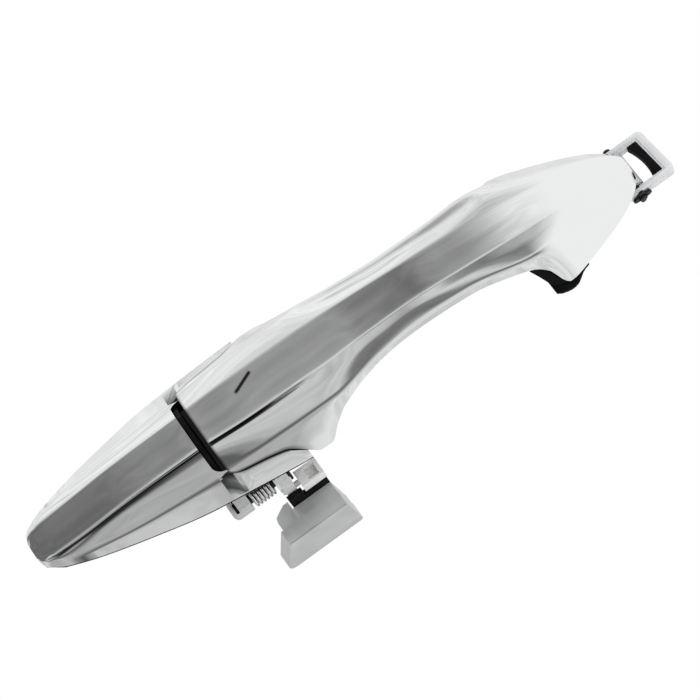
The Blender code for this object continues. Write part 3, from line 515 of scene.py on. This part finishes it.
def shell(name, xs, band_table, edge_table, crease):
    """Chrome skin as a solid loft through fine sections; its hollow is cut out afterwards."""
    rings = []
    for x in xs:
        outline = skin_section(x, band_table, curve(edge_table, x), crease(x))
        rings.append(ring_at(x, outline))
    return loft(name, rings, CHROME, SKIN_SMOOTH)


def cavity(name, xs, band_table, edge_table, depth):
    """Solid that hollows a shell: it lies a wall inside the skin and runs out below the rim."""
    rings = []
    for x in xs:
        edge = curve(edge_table, x)
        inside = inward(plain_section(x, band_table, edge), WALL)
        below = edge - depth
        rings.append(ring_at(x, [(inside[0][0], below)] + inside + [(inside[-1][0], below)]))
    return loft(name, rings, None, SKIN_SMOOTH)


def near_line(x, side, start, end, half_width):
    """1 on a straight stroke from start to end, given as (x, sideways), fading to 0 at its edge."""
    ax, aside = start
    bx, bside = end
    length = (bx - ax) ** 2 + (bside - aside) ** 2
    t = min(max(((x - ax) * (bx - ax) + (side - aside) * (bside - aside)) / length, 0.0), 1.0)
    away = math.hypot(x - ax - t * (bx - ax), side - aside - t * (bside - aside))
    return 1.0 - smoothstep(half_width * 0.4, half_width, away)


def crease_painted_shade(x, side, height, crease):
    """How far a point lies down in the crease beside the central facet, where shade is painted."""
    facet = soft_curve(FACET_HALF, x)
    crest = soft_curve(CREST_HEIGHT, x)
    across = -side - facet
    inside = smoothstep(-0.15, 0.15, across) * (1.0 - smoothstep(1.1, 1.6, across))
    return inside * crease(x) * smoothstep(crest - 3.0, crest - 1.5, height)


FACE_PAINTED_SHADE = 0.22             # the grip's end face in the gap, where little light comes in
SEAM_SHADOW_REACH = 0.7             # painted shadow: the grip's edge darkens this far up beside the cap's flanges
SEAM_SHADOW_FADE = (24.0, 33.0)     # and fades out over this stretch of x
# Depth of the painted shadow along the grip's edge.
SEAM_PAINTED_SHADOW = 0.9
# How dark the painted shade and painted reflection make the chrome at most.
PAINTED_DARK_DEPTH = 0.97
REFLECTED_SLASH_START = (21.4, 2.3)    # painted reflection: a short dark stroke on the facet, as (x, sideways)
REFLECTED_SLASH_END = (28.8, 5.7)
REFLECTED_SLASH_HALF = 0.95
TRAY_PAINTED_SHADE = 0.03             # painted shade inside the tray, under the grip
TRAY_UNSHADED_BAND = 1.3        # the flange's outer side is left without painted shade over this width
TRAY_SLOPE_HEIGHT = 7.5      # height over which the flank closes from foot to band


def cap_painted_shade(x, side, height):
    # Painted shade in the cap's crease.
    dark = crease_painted_shade(x, side, height, cap_crease)
    return 1.0 - PAINTED_DARK_DEPTH * dark


def grip_painted_shade_and_reflection(x, side, height):
    if x < GRIP_START_X + 0.02:
        return FACE_PAINTED_SHADE
    # Painted shade in the grip's crease.
    dark = crease_painted_shade(x, side, height, grip_crease)
    above_edge = height - curve(GRIP_EDGE, x)
    # Painted shadow along the grip's edge, beside the cap's flanges.
    seam = (1.0 - smoothstep(0.15, SEAM_SHADOW_REACH, above_edge)) * (1.0 - smoothstep(*SEAM_SHADOW_FADE, x))
    # Painted reflection: a short dark stroke across the facet.
    slash_reflection = near_line(x, side, REFLECTED_SLASH_START, REFLECTED_SLASH_END, REFLECTED_SLASH_HALF)
    return 1.0 - PAINTED_DARK_DEPTH * max(dark, SEAM_PAINTED_SHADOW * seam, slash_reflection)


NOSE_BACK_X = -60.0          # the cap's nose has closer sections up to here
CAP_HOLLOW_X = -57.0
FOOT_START_X = 172.0         # and the grip's end from here


def make_cap():
    xs = stations(CAP_TIP_X, NOSE_BACK_X, 0.6) + stations(NOSE_BACK_X, CAP_END_X, 1.0)[1:]
    cap = shell("cap_skin", xs, CAP_BAND_HEIGHT, FLAT_EDGE, cap_crease)
    hollow_xs = stations(CAP_HOLLOW_X, CAP_END_X - WALL, 3.0)
    hollow = cavity("cap_hollow", hollow_xs, CAP_BAND_HEIGHT, FLAT_EDGE, 3.0)
    combined(cap, [hollow], "DIFFERENCE", SKIN_SMOOTH)
    set_painted_light(cap, cap_painted_shade)
    return place(cap, "base", "chrome", "end_cap")


def make_grip():
    stroke_start, stroke_end = 18.0, 32.0
    xs = stations(GRIP_START_X, stroke_start, 1.0)
    xs += stations(stroke_start, stroke_end, 0.4)[1:]
    xs += stations(stroke_end, FOOT_START_X, 1.0)[1:]
    xs += stations(FOOT_START_X, GRIP_END_X, 0.5)[1:]
    grip = shell("grip_skin", xs, GRIP_BAND_HEIGHT, GRIP_EDGE, grip_crease)
    hollow_xs = stations(GRIP_START_X + WALL, GRIP_END_X - 4.0, 2.0)
    hollow = cavity("grip_hollow", hollow_xs, GRIP_BAND_HEIGHT, GRIP_EDGE, 12.0)
    combined(grip, [hollow], "DIFFERENCE", SKIN_SMOOTH)
    set_painted_light(grip, grip_painted_shade_and_reflection)
    return place(grip, "handle", "chrome", "grip_outer_shell")


def tray_painted_shade(x, side, height):
    """Dark inside the tray, where the grip keeps the light out."""
    base = curve(BASE_HALF, x)
    outer = base + (curve(BAND_HALF, x) - base) * height / TRAY_SLOPE_HEIGHT
    on_flank = abs(side) > outer - TRAY_UNSHADED_BAND
    below_top = height < curve(FLANGE_HEIGHT, x) - 0.05
    return 1.0 if on_flank and below_top else TRAY_PAINTED_SHADE


BLEND_END_X = 9.0            # the flank's slope goes over from the cap's to the grip's up to here
TRAY_GATE_X = (9.0, 28.0)    # opening in the floor for the tail hook
TRAY_GATE_Z = (-8.0, 10.0)


def make_tray():
    """Flanges either side of the grip's tail, with the floor between them."""
    inset = 0.02
    thick = 2.0
    floor = 2.0
    rings = []
    for x in stations(CAP_END_X, TRAY_END_X, 0.6):
        at_cap = curve(CAP_BAND_HEIGHT, x)
        at_grip = curve(GRIP_BAND_HEIGHT, max(x, GRIP_START_X))
        band_height = at_cap + (at_grip - at_cap) * smoothstep(CAP_END_X, BLEND_END_X, x)
        top = min(curve(FLANGE_HEIGHT, x), band_height)
        base = curve(BASE_HALF, x)
        band = curve(BAND_HALF, x)
        outer_top = base + (band - base) * top / band_height - inset
        outer_foot = base - inset
        half = [(outer_foot, 0.0), (outer_foot - 0.12, 0.5), (outer_top + 0.25, top - 0.5),
                (outer_top, top - 0.12), (outer_top - 0.3, top), (outer_top - thick, top),
                (outer_foot - 5.0, floor)]
        rings.append(ring_at(x, [(-w, h) for w, h in half] + [(w, h) for w, h in reversed(half)]))
    tray = loft("cap_tray", rings, CHROME, SKIN_SMOOTH)
    gate = block("tray_gate", (TRAY_GATE_X[0], RIM_Y - 4, TRAY_GATE_Z[0]),
                 (TRAY_GATE_X[1], RIM_Y + 1, TRAY_GATE_Z[1]))
    combined(tray, [gate], "DIFFERENCE", SKIN_SMOOTH)
    set_painted_light(tray, tray_painted_shade)
    return place(tray, "base", "chrome")


CORNER_WIDTH = 4.0
CORNER_REACH = 3.6


def make_corner(name, side):
    """Round inner corner where the cap's end meets the flange, carrying on the cap's surface."""
    rings = []
    for x in stations(CAP_END_X - 0.4, CAP_END_X + CORNER_WIDTH, 0.3):
        t = min(max((x - CAP_END_X) / CORNER_WIDTH, 0.0), 1.0)
        reach = CORNER_REACH * (1.0 - math.sqrt(1.0 - (1.0 - t) ** 2)) + 0.15
        band = curve(BAND_HALF, x) - 0.1
        band_height = curve(CAP_BAND_HEIGHT, x) - 0.05
        facet = curve(FACET_HALF, x)
        crest = curve(CREST_HEIGHT, x)
        corner = np.array((band, band_height))
        along = np.array((facet, crest)) - corner
        along /= np.linalg.norm(along)
        into = np.array((-along[1], -along[0]))
        tip = corner + along * reach
        foot = np.array((band + 0.6, band_height - 0.6))
        outline = [foot, corner, tip - along * 0.1, tip + into * 0.15, tip + into * 1.4,
                   corner + into * 1.4, foot + into * 1.6]
        rings.append(ring_at(x, [(side * w, h) for w, h in outline]))
    corner_piece = loft(name, rings, CHROME, SKIN_SMOOTH)
    set_painted_light(corner_piece, lambda x, side, height: 1.0)
    return place(corner_piece, "base", "chrome")


make_cap()
make_tray()
make_grip()
make_corner("cap_corner_lower", -1)
make_corner("cap_corner_upper", 1)


# ---- pivot loop --------------------------------------------------------------------------------
LOOP_Y = (2.0, 6.4)
LOOP_Z = (-15.9, 4.3)
LOOP_START_X = 174.4
LOOP_END_X = 193.8
LOOP_SLANT = 1.5
LOOP_ROOT = 4.0
LOOP_PIN_RADIUS = 1.9
LEDGE_WIDTH = 0.75           # shallow step round the window's front edge
LEDGE_DEPTH = 0.6
LOOP_RAIL = 2.6
LOOP_BAR = 3.6


def slanted(outline):
    """(x, z) points past the loop's root, moved back in step with their height."""
    tall = LOOP_Z[1] - LOOP_Z[0]
    moved = []
    for x, z in outline:
        back = LOOP_SLANT * (z - LOOP_Z[0]) / tall if x > LOOP_START_X + LOOP_ROOT else 0.0
        moved.append((x - back, z))
    return moved


def plate_of(outline, low, high, name):
    return loft(name, [[(x, y, z) for x, z in outline] for y in (low, high)], None, 35)


def make_loop():
    outline = slanted(rounded_box_outline((LOOP_START_X, LOOP_Z[0]), (LOOP_END_X, LOOP_Z[1]), 2.0))
    loop = plate_of(outline, *LOOP_Y, "loop_frame")
    right = LOOP_END_X - LOOP_BAR
    low, high = LOOP_Z[0] + LOOP_RAIL, LOOP_Z[1] - LOOP_RAIL
    window = slanted([(LOOP_START_X - 5, low), (right, low), (right, high), (LOOP_START_X - 5, high)])
    ledge_low, ledge_high = low - LEDGE_WIDTH, high + LEDGE_WIDTH
    ledge = slanted([(LOOP_START_X - 6, ledge_low), (right + LEDGE_WIDTH, ledge_low),
                     (right + LEDGE_WIDTH, ledge_high), (LOOP_START_X - 6, ledge_high)])
    bore_ends = (LOOP_Z[0] - 4.1, LOOP_Z[1] + 4.7)
    bore = turned("loop_bore", "Z", HINGE[:2], [(z, LOOP_PIN_RADIUS) for z in bore_ends], None, 24)
    tools = [plate_of(window, 0.0, 9.0, "window"),
             plate_of(ledge, 0.0, LOOP_Y[0] + LEDGE_DEPTH, "ledge"), bore]
    combined(loop, tools, "DIFFERENCE", 35)
    loop.data.materials.clear()
    loop.data.materials.append(LOOP_ZINC)
    bevelled(loop, 0.35, 3, 40)
    return place(loop, "base", "loop_zinc", "pivot_loop")


# ---- release lever's weight ------------------------------------------------------------------
WEIGHT_FRONT_Y = 27.0
WEIGHT_BACK_Y = 47.1
WEIGHT_Z = (-36.4, -25.4)
WEIGHT_LEFT = (4.8, -0.6)
WEIGHT_RIGHT = (29.8, 31.7)
WEIGHT_STEP = 4.7
RIVET_PLACE = (16.6, 33.0)
RIVET_BORE_RADIUS = 1.8
STEP_X = 12.6                # the taller block and the lobe meet here
LOBE_FRONT_Y = 31.5
LIP = 0.35                   # depth of the line under the front edge


def flat_solid(name, outline, low, high):
    """Solid from an (x, y) outline between two heights."""
    return loft(name, [[(x, y, z) for x, y in outline] for z in (low, high)], CAST_ZINC, 35)


def deep_solid(name, outline, front, back, finish):
    """Solid from an (x, z) outline between two depths."""
    return loft(name, [[(x, y, z) for x, z in outline] for y in (front, back)], finish, 35)


def make_weight():
    """Cast weight: a low block with round back corners, a taller block and a lobe at its left."""
    low, high = WEIGHT_Z
    front, back = WEIGHT_FRONT_Y, WEIGHT_BACK_Y
    left, right = WEIGHT_LEFT, WEIGHT_RIGHT
    plan = ([(left[0], front), (right[0], front)] + arc((right[1] - 1.5, back - 1.5), 1.5, 0, 90, 5)
            + arc((left[1] + 3.0, back - 3.0), 3.0, 90, 180, 8))
    weight = flat_solid("weight", plan, low, high - WEIGHT_STEP)
    upper = [(STEP_X, front + LIP * 0.3), (right[0] - 0.2, front + LIP * 0.3),
             (right[1] - 0.3, back - 0.4), (STEP_X, back - 0.4)]
    tall = flat_solid("weight_upper", upper, low + 1.0, high)
    lobe_shape = [(5.6, low + 2.0), (STEP_X + 0.2, low + 2.0), (STEP_X + 0.2, high + 5.2),
                  (10.8, high + 5.2), (6.2, high + 2.6), (5.6, high + 0.6)]
    lobe = deep_solid("weight_lobe", lobe_shape, LOBE_FRONT_Y, back - 0.5, CAST_ZINC)
    combined(weight, [tall, lobe], "UNION", 35)
    seam = [(right[0] + 2.0, low + 0.55), (left[0] - 2.0, low + 0.55), (left[0] - 2.0, low + 0.1),
            (right[0] + 2.0, low + 0.1)]
    groove = deep_solid("weight_groove", seam, front - 1.0, front + LIP, None)
    bore_ends = (low + 3.0, high + 8.0)
    bore_profile = [(z, RIVET_BORE_RADIUS) for z in bore_ends]
    bore = turned("rivet_bore", "Z", RIVET_PLACE, bore_profile, None, 24)
    combined(weight, [groove, bore], "DIFFERENCE", 35)
    bevelled(weight, 0.3, 3, 30)
    weight.data.materials.clear()
    weight.data.materials.append(CAST_ZINC)
    return place(weight, "lever", "zinc", "counterweight")


# ---- return spring ---------------------------------------------------------------------------
SPRING_X = (3.2, 12.4)
SPRING_MEAN_RADIUS = 3.7
SPRING_WIRE_RADIUS = 0.58
SPRING_TURNS = 5.5
SPRING_START_TURN = 200.0    # degrees round the lever's pin
SPRING_TURN_STEPS = 32
SPRING_LEG_PLACES = (1.5, 4.0, 7.0)


def wire(name, path, radius, finish, sides=14):
    """Round wire along a path, as a closed solid."""
    points = [Vector(p) for p in path]
    rings = []
    side = None
    for i, point in enumerate(points):
        along = (points[min(i + 1, len(points) - 1)] - points[max(i - 1, 0)]).normalized()
        guide = side if side is not None else Vector((0.3, 0.2, 1.0))
        side = (guide - along * guide.dot(along)).normalized()
        other = along.cross(side)
        rings.append([tuple(point + (side * math.cos(2 * math.pi * k / sides)
                                     + other * math.sin(2 * math.pi * k / sides)) * radius)
                      for k in range(sides)])
    return loft(name, rings, finish, 60)


def make_spring():
    y, z = LEVER_AXIS[1:]
    steps = int(SPRING_TURNS * SPRING_TURN_STEPS)
    start_turn = math.radians(SPRING_START_TURN)
    pitch_length = SPRING_X[1] - SPRING_X[0] - 2 * SPRING_WIRE_RADIUS
    path = []
    for i in range(steps + 1):
        turn = start_turn + 2 * math.pi * SPRING_TURNS * i / steps
        x = SPRING_X[0] + SPRING_WIRE_RADIUS + pitch_length * i / steps
        across = SPRING_MEAN_RADIUS * math.cos(turn)
        upward = SPRING_MEAN_RADIUS * math.sin(turn)
        path.append((x, y + across, z + upward))
    leg = Vector((0.0, math.sin(start_turn), -math.cos(start_turn)))
    first = [tuple(Vector(path[0]) + leg * length) for length in reversed(SPRING_LEG_PLACES)]
    last = [tuple(Vector(path[-1]) + leg * length) for length in SPRING_LEG_PLACES]
    spring = wire("spring_coil", first + path + last, SPRING_WIRE_RADIUS, SPRING_STEEL)
    return place(spring, "base", "spring_steel", "return_spring")


# ---- rod clip --------------------------------------------------------------------------------
CLIP_X = (20.6, 30.0)
CLIP_LOW = (17.6, -25.2)     # (y, z)
CLIP_HIGH = (22.4, -17.8)
CLIP_STEM = [(13.4, 0.8), (13.9, 1.1), (21.5, 1.1)]
SLOT_X = (24.2, 28.4)
SLOT_LOW = (15.0, -24.0)
SLOT_HIGH = (21.2, -19.2)


def make_clip():
    """White clip: a slotted box on a round stem."""
    box = rounded_box_outline(CLIP_LOW, CLIP_HIGH, 0.6)
    body = prism("clip_body", "X", box, *CLIP_X, WHITE_PLASTIC)
    stem = turned("clip_stem", "X", CLIP_AXIS[1:], CLIP_STEM, WHITE_PLASTIC, 24)
    combined(body, [stem], "UNION", 35)
    slot = prism("clip_slot", "X", rounded_box_outline(SLOT_LOW, SLOT_HIGH, 0.3), *SLOT_X)
    combined(body, [slot], "DIFFERENCE", 35)
    bevelled(body, 0.3, 3, 40)
    body.data.materials.clear()
    body.data.materials.append(WHITE_PLASTIC)
    return place(body, "clip", "white_plastic", "rod_clip")


make_loop()
make_weight()
make_spring()
make_clip()


# ---- finishes of the CAD nodes that stay ---------------------------------------------------------
KEPT_FINISH = {
    "rear_gasket": RUBBER, "front_gasket": RUBBER, "gap_seal": RUBBER, "foot_heel": RUBBER,
    # The weight pad is black rubber: it fills the notch between the lever and the weight.
    "loop_liner": RUBBER, "weight_pad": RUBBER,
    "base_bracket": CAST_ZINC, "front_carrier": CAST_ZINC, "tail_hook": CAST_ZINC,
    "bell_crank": LOOP_ZINC,
    # The lever pin is black steel as painted shade: it darkens the gaps between the spring's coils.
    "mount_insert": STEEL, "lever_pin": BLACK_STEEL, "cap_screw_1": STEEL, "cap_screw_2": STEEL,
    "grip_screw_1": STEEL, "grip_screw_2": STEEL, "grip_screw_3": STEEL, "grip_screw_4": STEEL,
    "grip_stiffener": STEEL, "weight_rivet": STEEL,
    "lever_pin_clip": BLACK_STEEL, "loop_pin": BLACK_STEEL, "loop_pin_clip": BLACK_STEEL,
    "grip_back_shell": BLACK_PLASTIC,
    "carrier_bush": NYLON, "lever_bush": NYLON,
}


def finish_nodes():
    for name, finish in KEPT_FINISH.items():
        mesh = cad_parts[name].data
        mesh.materials.clear()
        mesh.materials.append(finish)


finish_nodes()


# ---- studio: floor, world, light and camera -----------------------------------------------------
def ramp(tree, source, stops):
    """Grey value between stops, each (place 0..1, grey)."""
    node = tree.nodes.new("ShaderNodeValToRGB")
    node.color_ramp.interpolation = "EASE"
    elements = node.color_ramp.elements
    while len(elements) > 1:
        elements.remove(elements[-1])
    elements[0].position = stops[0][0]
    elements[0].color = (stops[0][1],) * 3 + (1.0,)
    for position, grey in stops[1:]:
        element = elements.new(position)
        element.color = (grey, grey, grey, 1.0)
    tree.links.new(source, node.inputs["Fac"])
    return node.outputs["Color"]


def maths(tree, operation, a, b=None):
    node = tree.nodes.new("ShaderNodeMath")
    node.operation = operation
    for socket, value in zip(node.inputs, (a, b)):
        if value is None:
            continue
        if isinstance(value, (int, float)):
            socket.default_value = value
        else:
            tree.links.new(value, socket)
    return node.outputs["Value"]


def smooth_between(tree, value, low, high):
    node = tree.nodes.new("ShaderNodeMapRange")
    node.interpolation_type = "SMOOTHSTEP"
    node.clamp = True
    node.inputs["From Min"].default_value = low
    node.inputs["From Max"].default_value = high
    tree.links.new(value, node.inputs["Value"])
    return node.outputs["Result"]


SIDE_TONES = [(-0.50, 0.15), (-0.36, 0.20), (-0.22, 0.27), (-0.13, 0.33), (-0.04, 0.22), (0.10, 0.18),
              (0.19, 0.27), (0.30, 0.78), (0.45, 0.86)]

# What the plate mirrors, by the angle above the outward direction (degrees, grey).  The first is
# for rays that leave toward the cap, the second for the rest.
ROUND_CAP = [(-180, 0.55), (-150, 0.62), (-120, 0.70), (-85, 0.60), (-72, 0.42), (-62, 0.46), (-54, 0.20),
             (-48, 0.10), (-42, 0.30), (-36, 0.52), (-24, 0.58), (-10, 0.60), (8, 0.62), (30, 0.4),
             (60, 0.60), (80, 0.82), (98, 0.84), (103, 0.60), (107, 0.84), (150, 0.70), (180, 0.55)]
ROUND_GRIP = [(-180, 0.55), (-150, 0.66), (-120, 0.76), (-85, 0.72), (-70, 0.62), (-60, 0.34), (-52, 0.17),
              (-44, 0.22), (-38, 0.55), (-33, 0.66), (-29, 0.52), (-24, 0.26), (-16, 0.20), (-8, 0.35),
              (6, 0.66), (30, 0.4), (60, 0.52), (72, 0.74), (84, 0.84), (98, 0.85), (103, 0.60),
              (107, 0.85), (150, 0.70), (180, 0.55)]


CAP_SIDE = (-0.19, -0.06)    # rays whose x lies below this belong to the cap, above it to the grip
FACET_LOW = (8, 17)          # degrees over which the facet's own tones fade in
FACET_HIGH = (62, 46)        # and out again
END_SIDE = (0.24, 0.42)      # rays toward the loop's end go over to an even white
END_GREY = 0.90


def turn_place(degrees):
    """Angle as a place from 0 to 1 round the handle."""
    return degrees / 360 + 0.5


def round_tone(tree, angle, stops):
    return ramp(tree, angle, [(turn_place(degrees), grey) for degrees, grey in stops])


def make_world():
    """Soft white studio whose grey zones draw the lines of the mirror-bright plate."""
    world = bpy.data.worlds.new("studio")
    bpy.context.scene.world = world
    world.use_nodes = True
    tree = world.node_tree
    tree.nodes.clear()
    where = tree.nodes.new("ShaderNodeTexCoord")
    split = tree.nodes.new("ShaderNodeSeparateXYZ")
    tree.links.new(where.outputs["Generated"], split.inputs["Vector"])
    x, y, z = split.outputs["X"], split.outputs["Y"], split.outputs["Z"]
    turn = maths(tree, "ARCTAN2", z, maths(tree, "MULTIPLY", y, -1.0))
    angle = maths(tree, "MULTIPLY_ADD", turn, 0.5 / math.pi)
    angle.node.inputs[2].default_value = 0.5
    side = maths(tree, "MULTIPLY_ADD", x, 0.5)
    side.node.inputs[2].default_value = 0.5
    facets = ramp(tree, side, [(0.5 + 0.5 * place, grey) for place, grey in SIDE_TONES])
    to_cap = round_tone(tree, angle, ROUND_CAP)
    to_grip = round_tone(tree, angle, ROUND_GRIP)
    around = mix_colours(tree, smooth_between(tree, x, *CAP_SIDE), to_cap, to_grip)
    low = smooth_between(tree, angle, *(turn_place(degrees) for degrees in FACET_LOW))
    high = smooth_between(tree, angle, *(turn_place(degrees) for degrees in FACET_HIGH))
    shown = mix_colours(tree, maths(tree, "MULTIPLY", low, high), around, facets)
    far_end = smooth_between(tree, x, *END_SIDE)
    bright = mix_colours(tree, far_end, shown, (END_GREY, END_GREY, END_GREY, 1.0))
    clouds = tree.nodes.new("ShaderNodeTexNoise")
    clouds.inputs["Scale"].default_value = 9.0
    clouds.inputs["Detail"].default_value = 3.0
    clouds.inputs["Distortion"].default_value = 1.2
    tree.links.new(where.outputs["Generated"], clouds.inputs["Vector"])
    cloudy = tree.nodes.new("ShaderNodeMapRange")
    cloudy.inputs["From Min"].default_value = 0.35
    cloudy.inputs["From Max"].default_value = 0.65
    cloudy.inputs["To Min"].default_value = 0.86
    cloudy.inputs["To Max"].default_value = 1.12
    tree.links.new(clouds.outputs["Fac"], cloudy.inputs["Value"])
    calm = mix_colours(tree, far_end, cloudy.outputs["Result"], (1.0, 1.0, 1.0, 1.0))
    lit = tree.nodes.new("ShaderNodeBackground")
    tree.links.new(bright, lit.inputs["Color"])
    tree.links.new(calm, lit.inputs["Strength"])
    seen = tree.nodes.new("ShaderNodeBackground")
    seen.inputs["Color"].default_value = (1.0, 1.0, 1.0, 1.0)
    path = tree.nodes.new("ShaderNodeLightPath")
    choice = tree.nodes.new("ShaderNodeMixShader")
    tree.links.new(path.outputs["Is Camera Ray"], choice.inputs["Fac"])
    tree.links.new(lit.outputs["Background"], choice.inputs[1])
    tree.links.new(seen.outputs["Background"], choice.inputs[2])
    output = tree.nodes.new("ShaderNodeOutputWorld")
    tree.links.new(choice.outputs["Shader"], output.inputs["Surface"])


FLOOR_Z = -620.0
FLOOR_HALF = 6000.0


def make_floor():
    corners = [(-1, -1), (1, -1), (1, 1), (-1, 1)]
    points = [(a * FLOOR_HALF, b * FLOOR_HALF, FLOOR_Z) for a, b in corners]
    pale = grained("pale_floor", (0.84, 0.84, 0.84), (0.88, 0.88, 0.88), (0.6, 0.7), 0.0, 40.0, 0.2, 2.0)
    floor = mesh_object("floor", points, [(0, 1, 2, 3)], pale, None)
    floor.visible_glossy = False


def make_light(name, location, target, size, power):
    light = bpy.data.lights.new(name, "AREA")
    light.size = size
    light.energy = power
    made = bpy.data.objects.new(name, light)
    bpy.context.scene.collection.objects.link(made)
    made.location = location
    made.visible_glossy = False
    made.rotation_mode = "QUATERNION"
    made.rotation_quaternion = (Vector(target) - Vector(location)).to_track_quat("-Z", "Y")


CAMERA_TARGET = (62.4, -5.5, -3.0)
CAMERA_DISTANCE = 1000.0
CAMERA_BELOW = 25.0          # degrees that the camera looks up
CAMERA_ASIDE = 2.0           # degrees that it stands toward the cap's end
CAMERA_ROLL = 36.7           # degrees that the handle climbs across the picture
LENS = 146.1
SENSOR_WIDTH = 36.0


def make_camera():
    below, aside, roll = (math.radians(a) for a in (CAMERA_BELOW, CAMERA_ASIDE, CAMERA_ROLL))
    level = math.cos(below)
    back = Vector((-math.sin(aside) * level, -math.cos(aside) * level, -math.sin(below)))
    level_right = Vector((math.cos(aside), -math.sin(aside), 0.0))
    level_up = back.cross(level_right)
    right = level_right * math.cos(roll) - level_up * math.sin(roll)
    up = level_right * math.sin(roll) + level_up * math.cos(roll)
    data = bpy.data.cameras.new("camera")
    data.lens = LENS
    data.sensor_width = SENSOR_WIDTH
    camera = bpy.data.objects.new("camera", data)
    bpy.context.scene.collection.objects.link(camera)
    location = (Vector(CAMERA_TARGET) + back * CAMERA_DISTANCE) * MM
    turn = Matrix((right, up, back)).transposed().to_4x4()
    camera.matrix_world = Matrix.Translation(location) @ turn
    bpy.context.scene.camera = camera


make_world()
make_floor()
make_light("softbox_top", (0.0, -0.2, 1.3), (0.06, 0.0, 0.0), 1.2, 9.0)
make_light("softbox_low", (0.5, -1.0, -0.4), (0.06, 0.0, -0.02), 0.6, 3.0)
make_camera()
bpy.context.scene.view_settings.view_transform = "Standard"
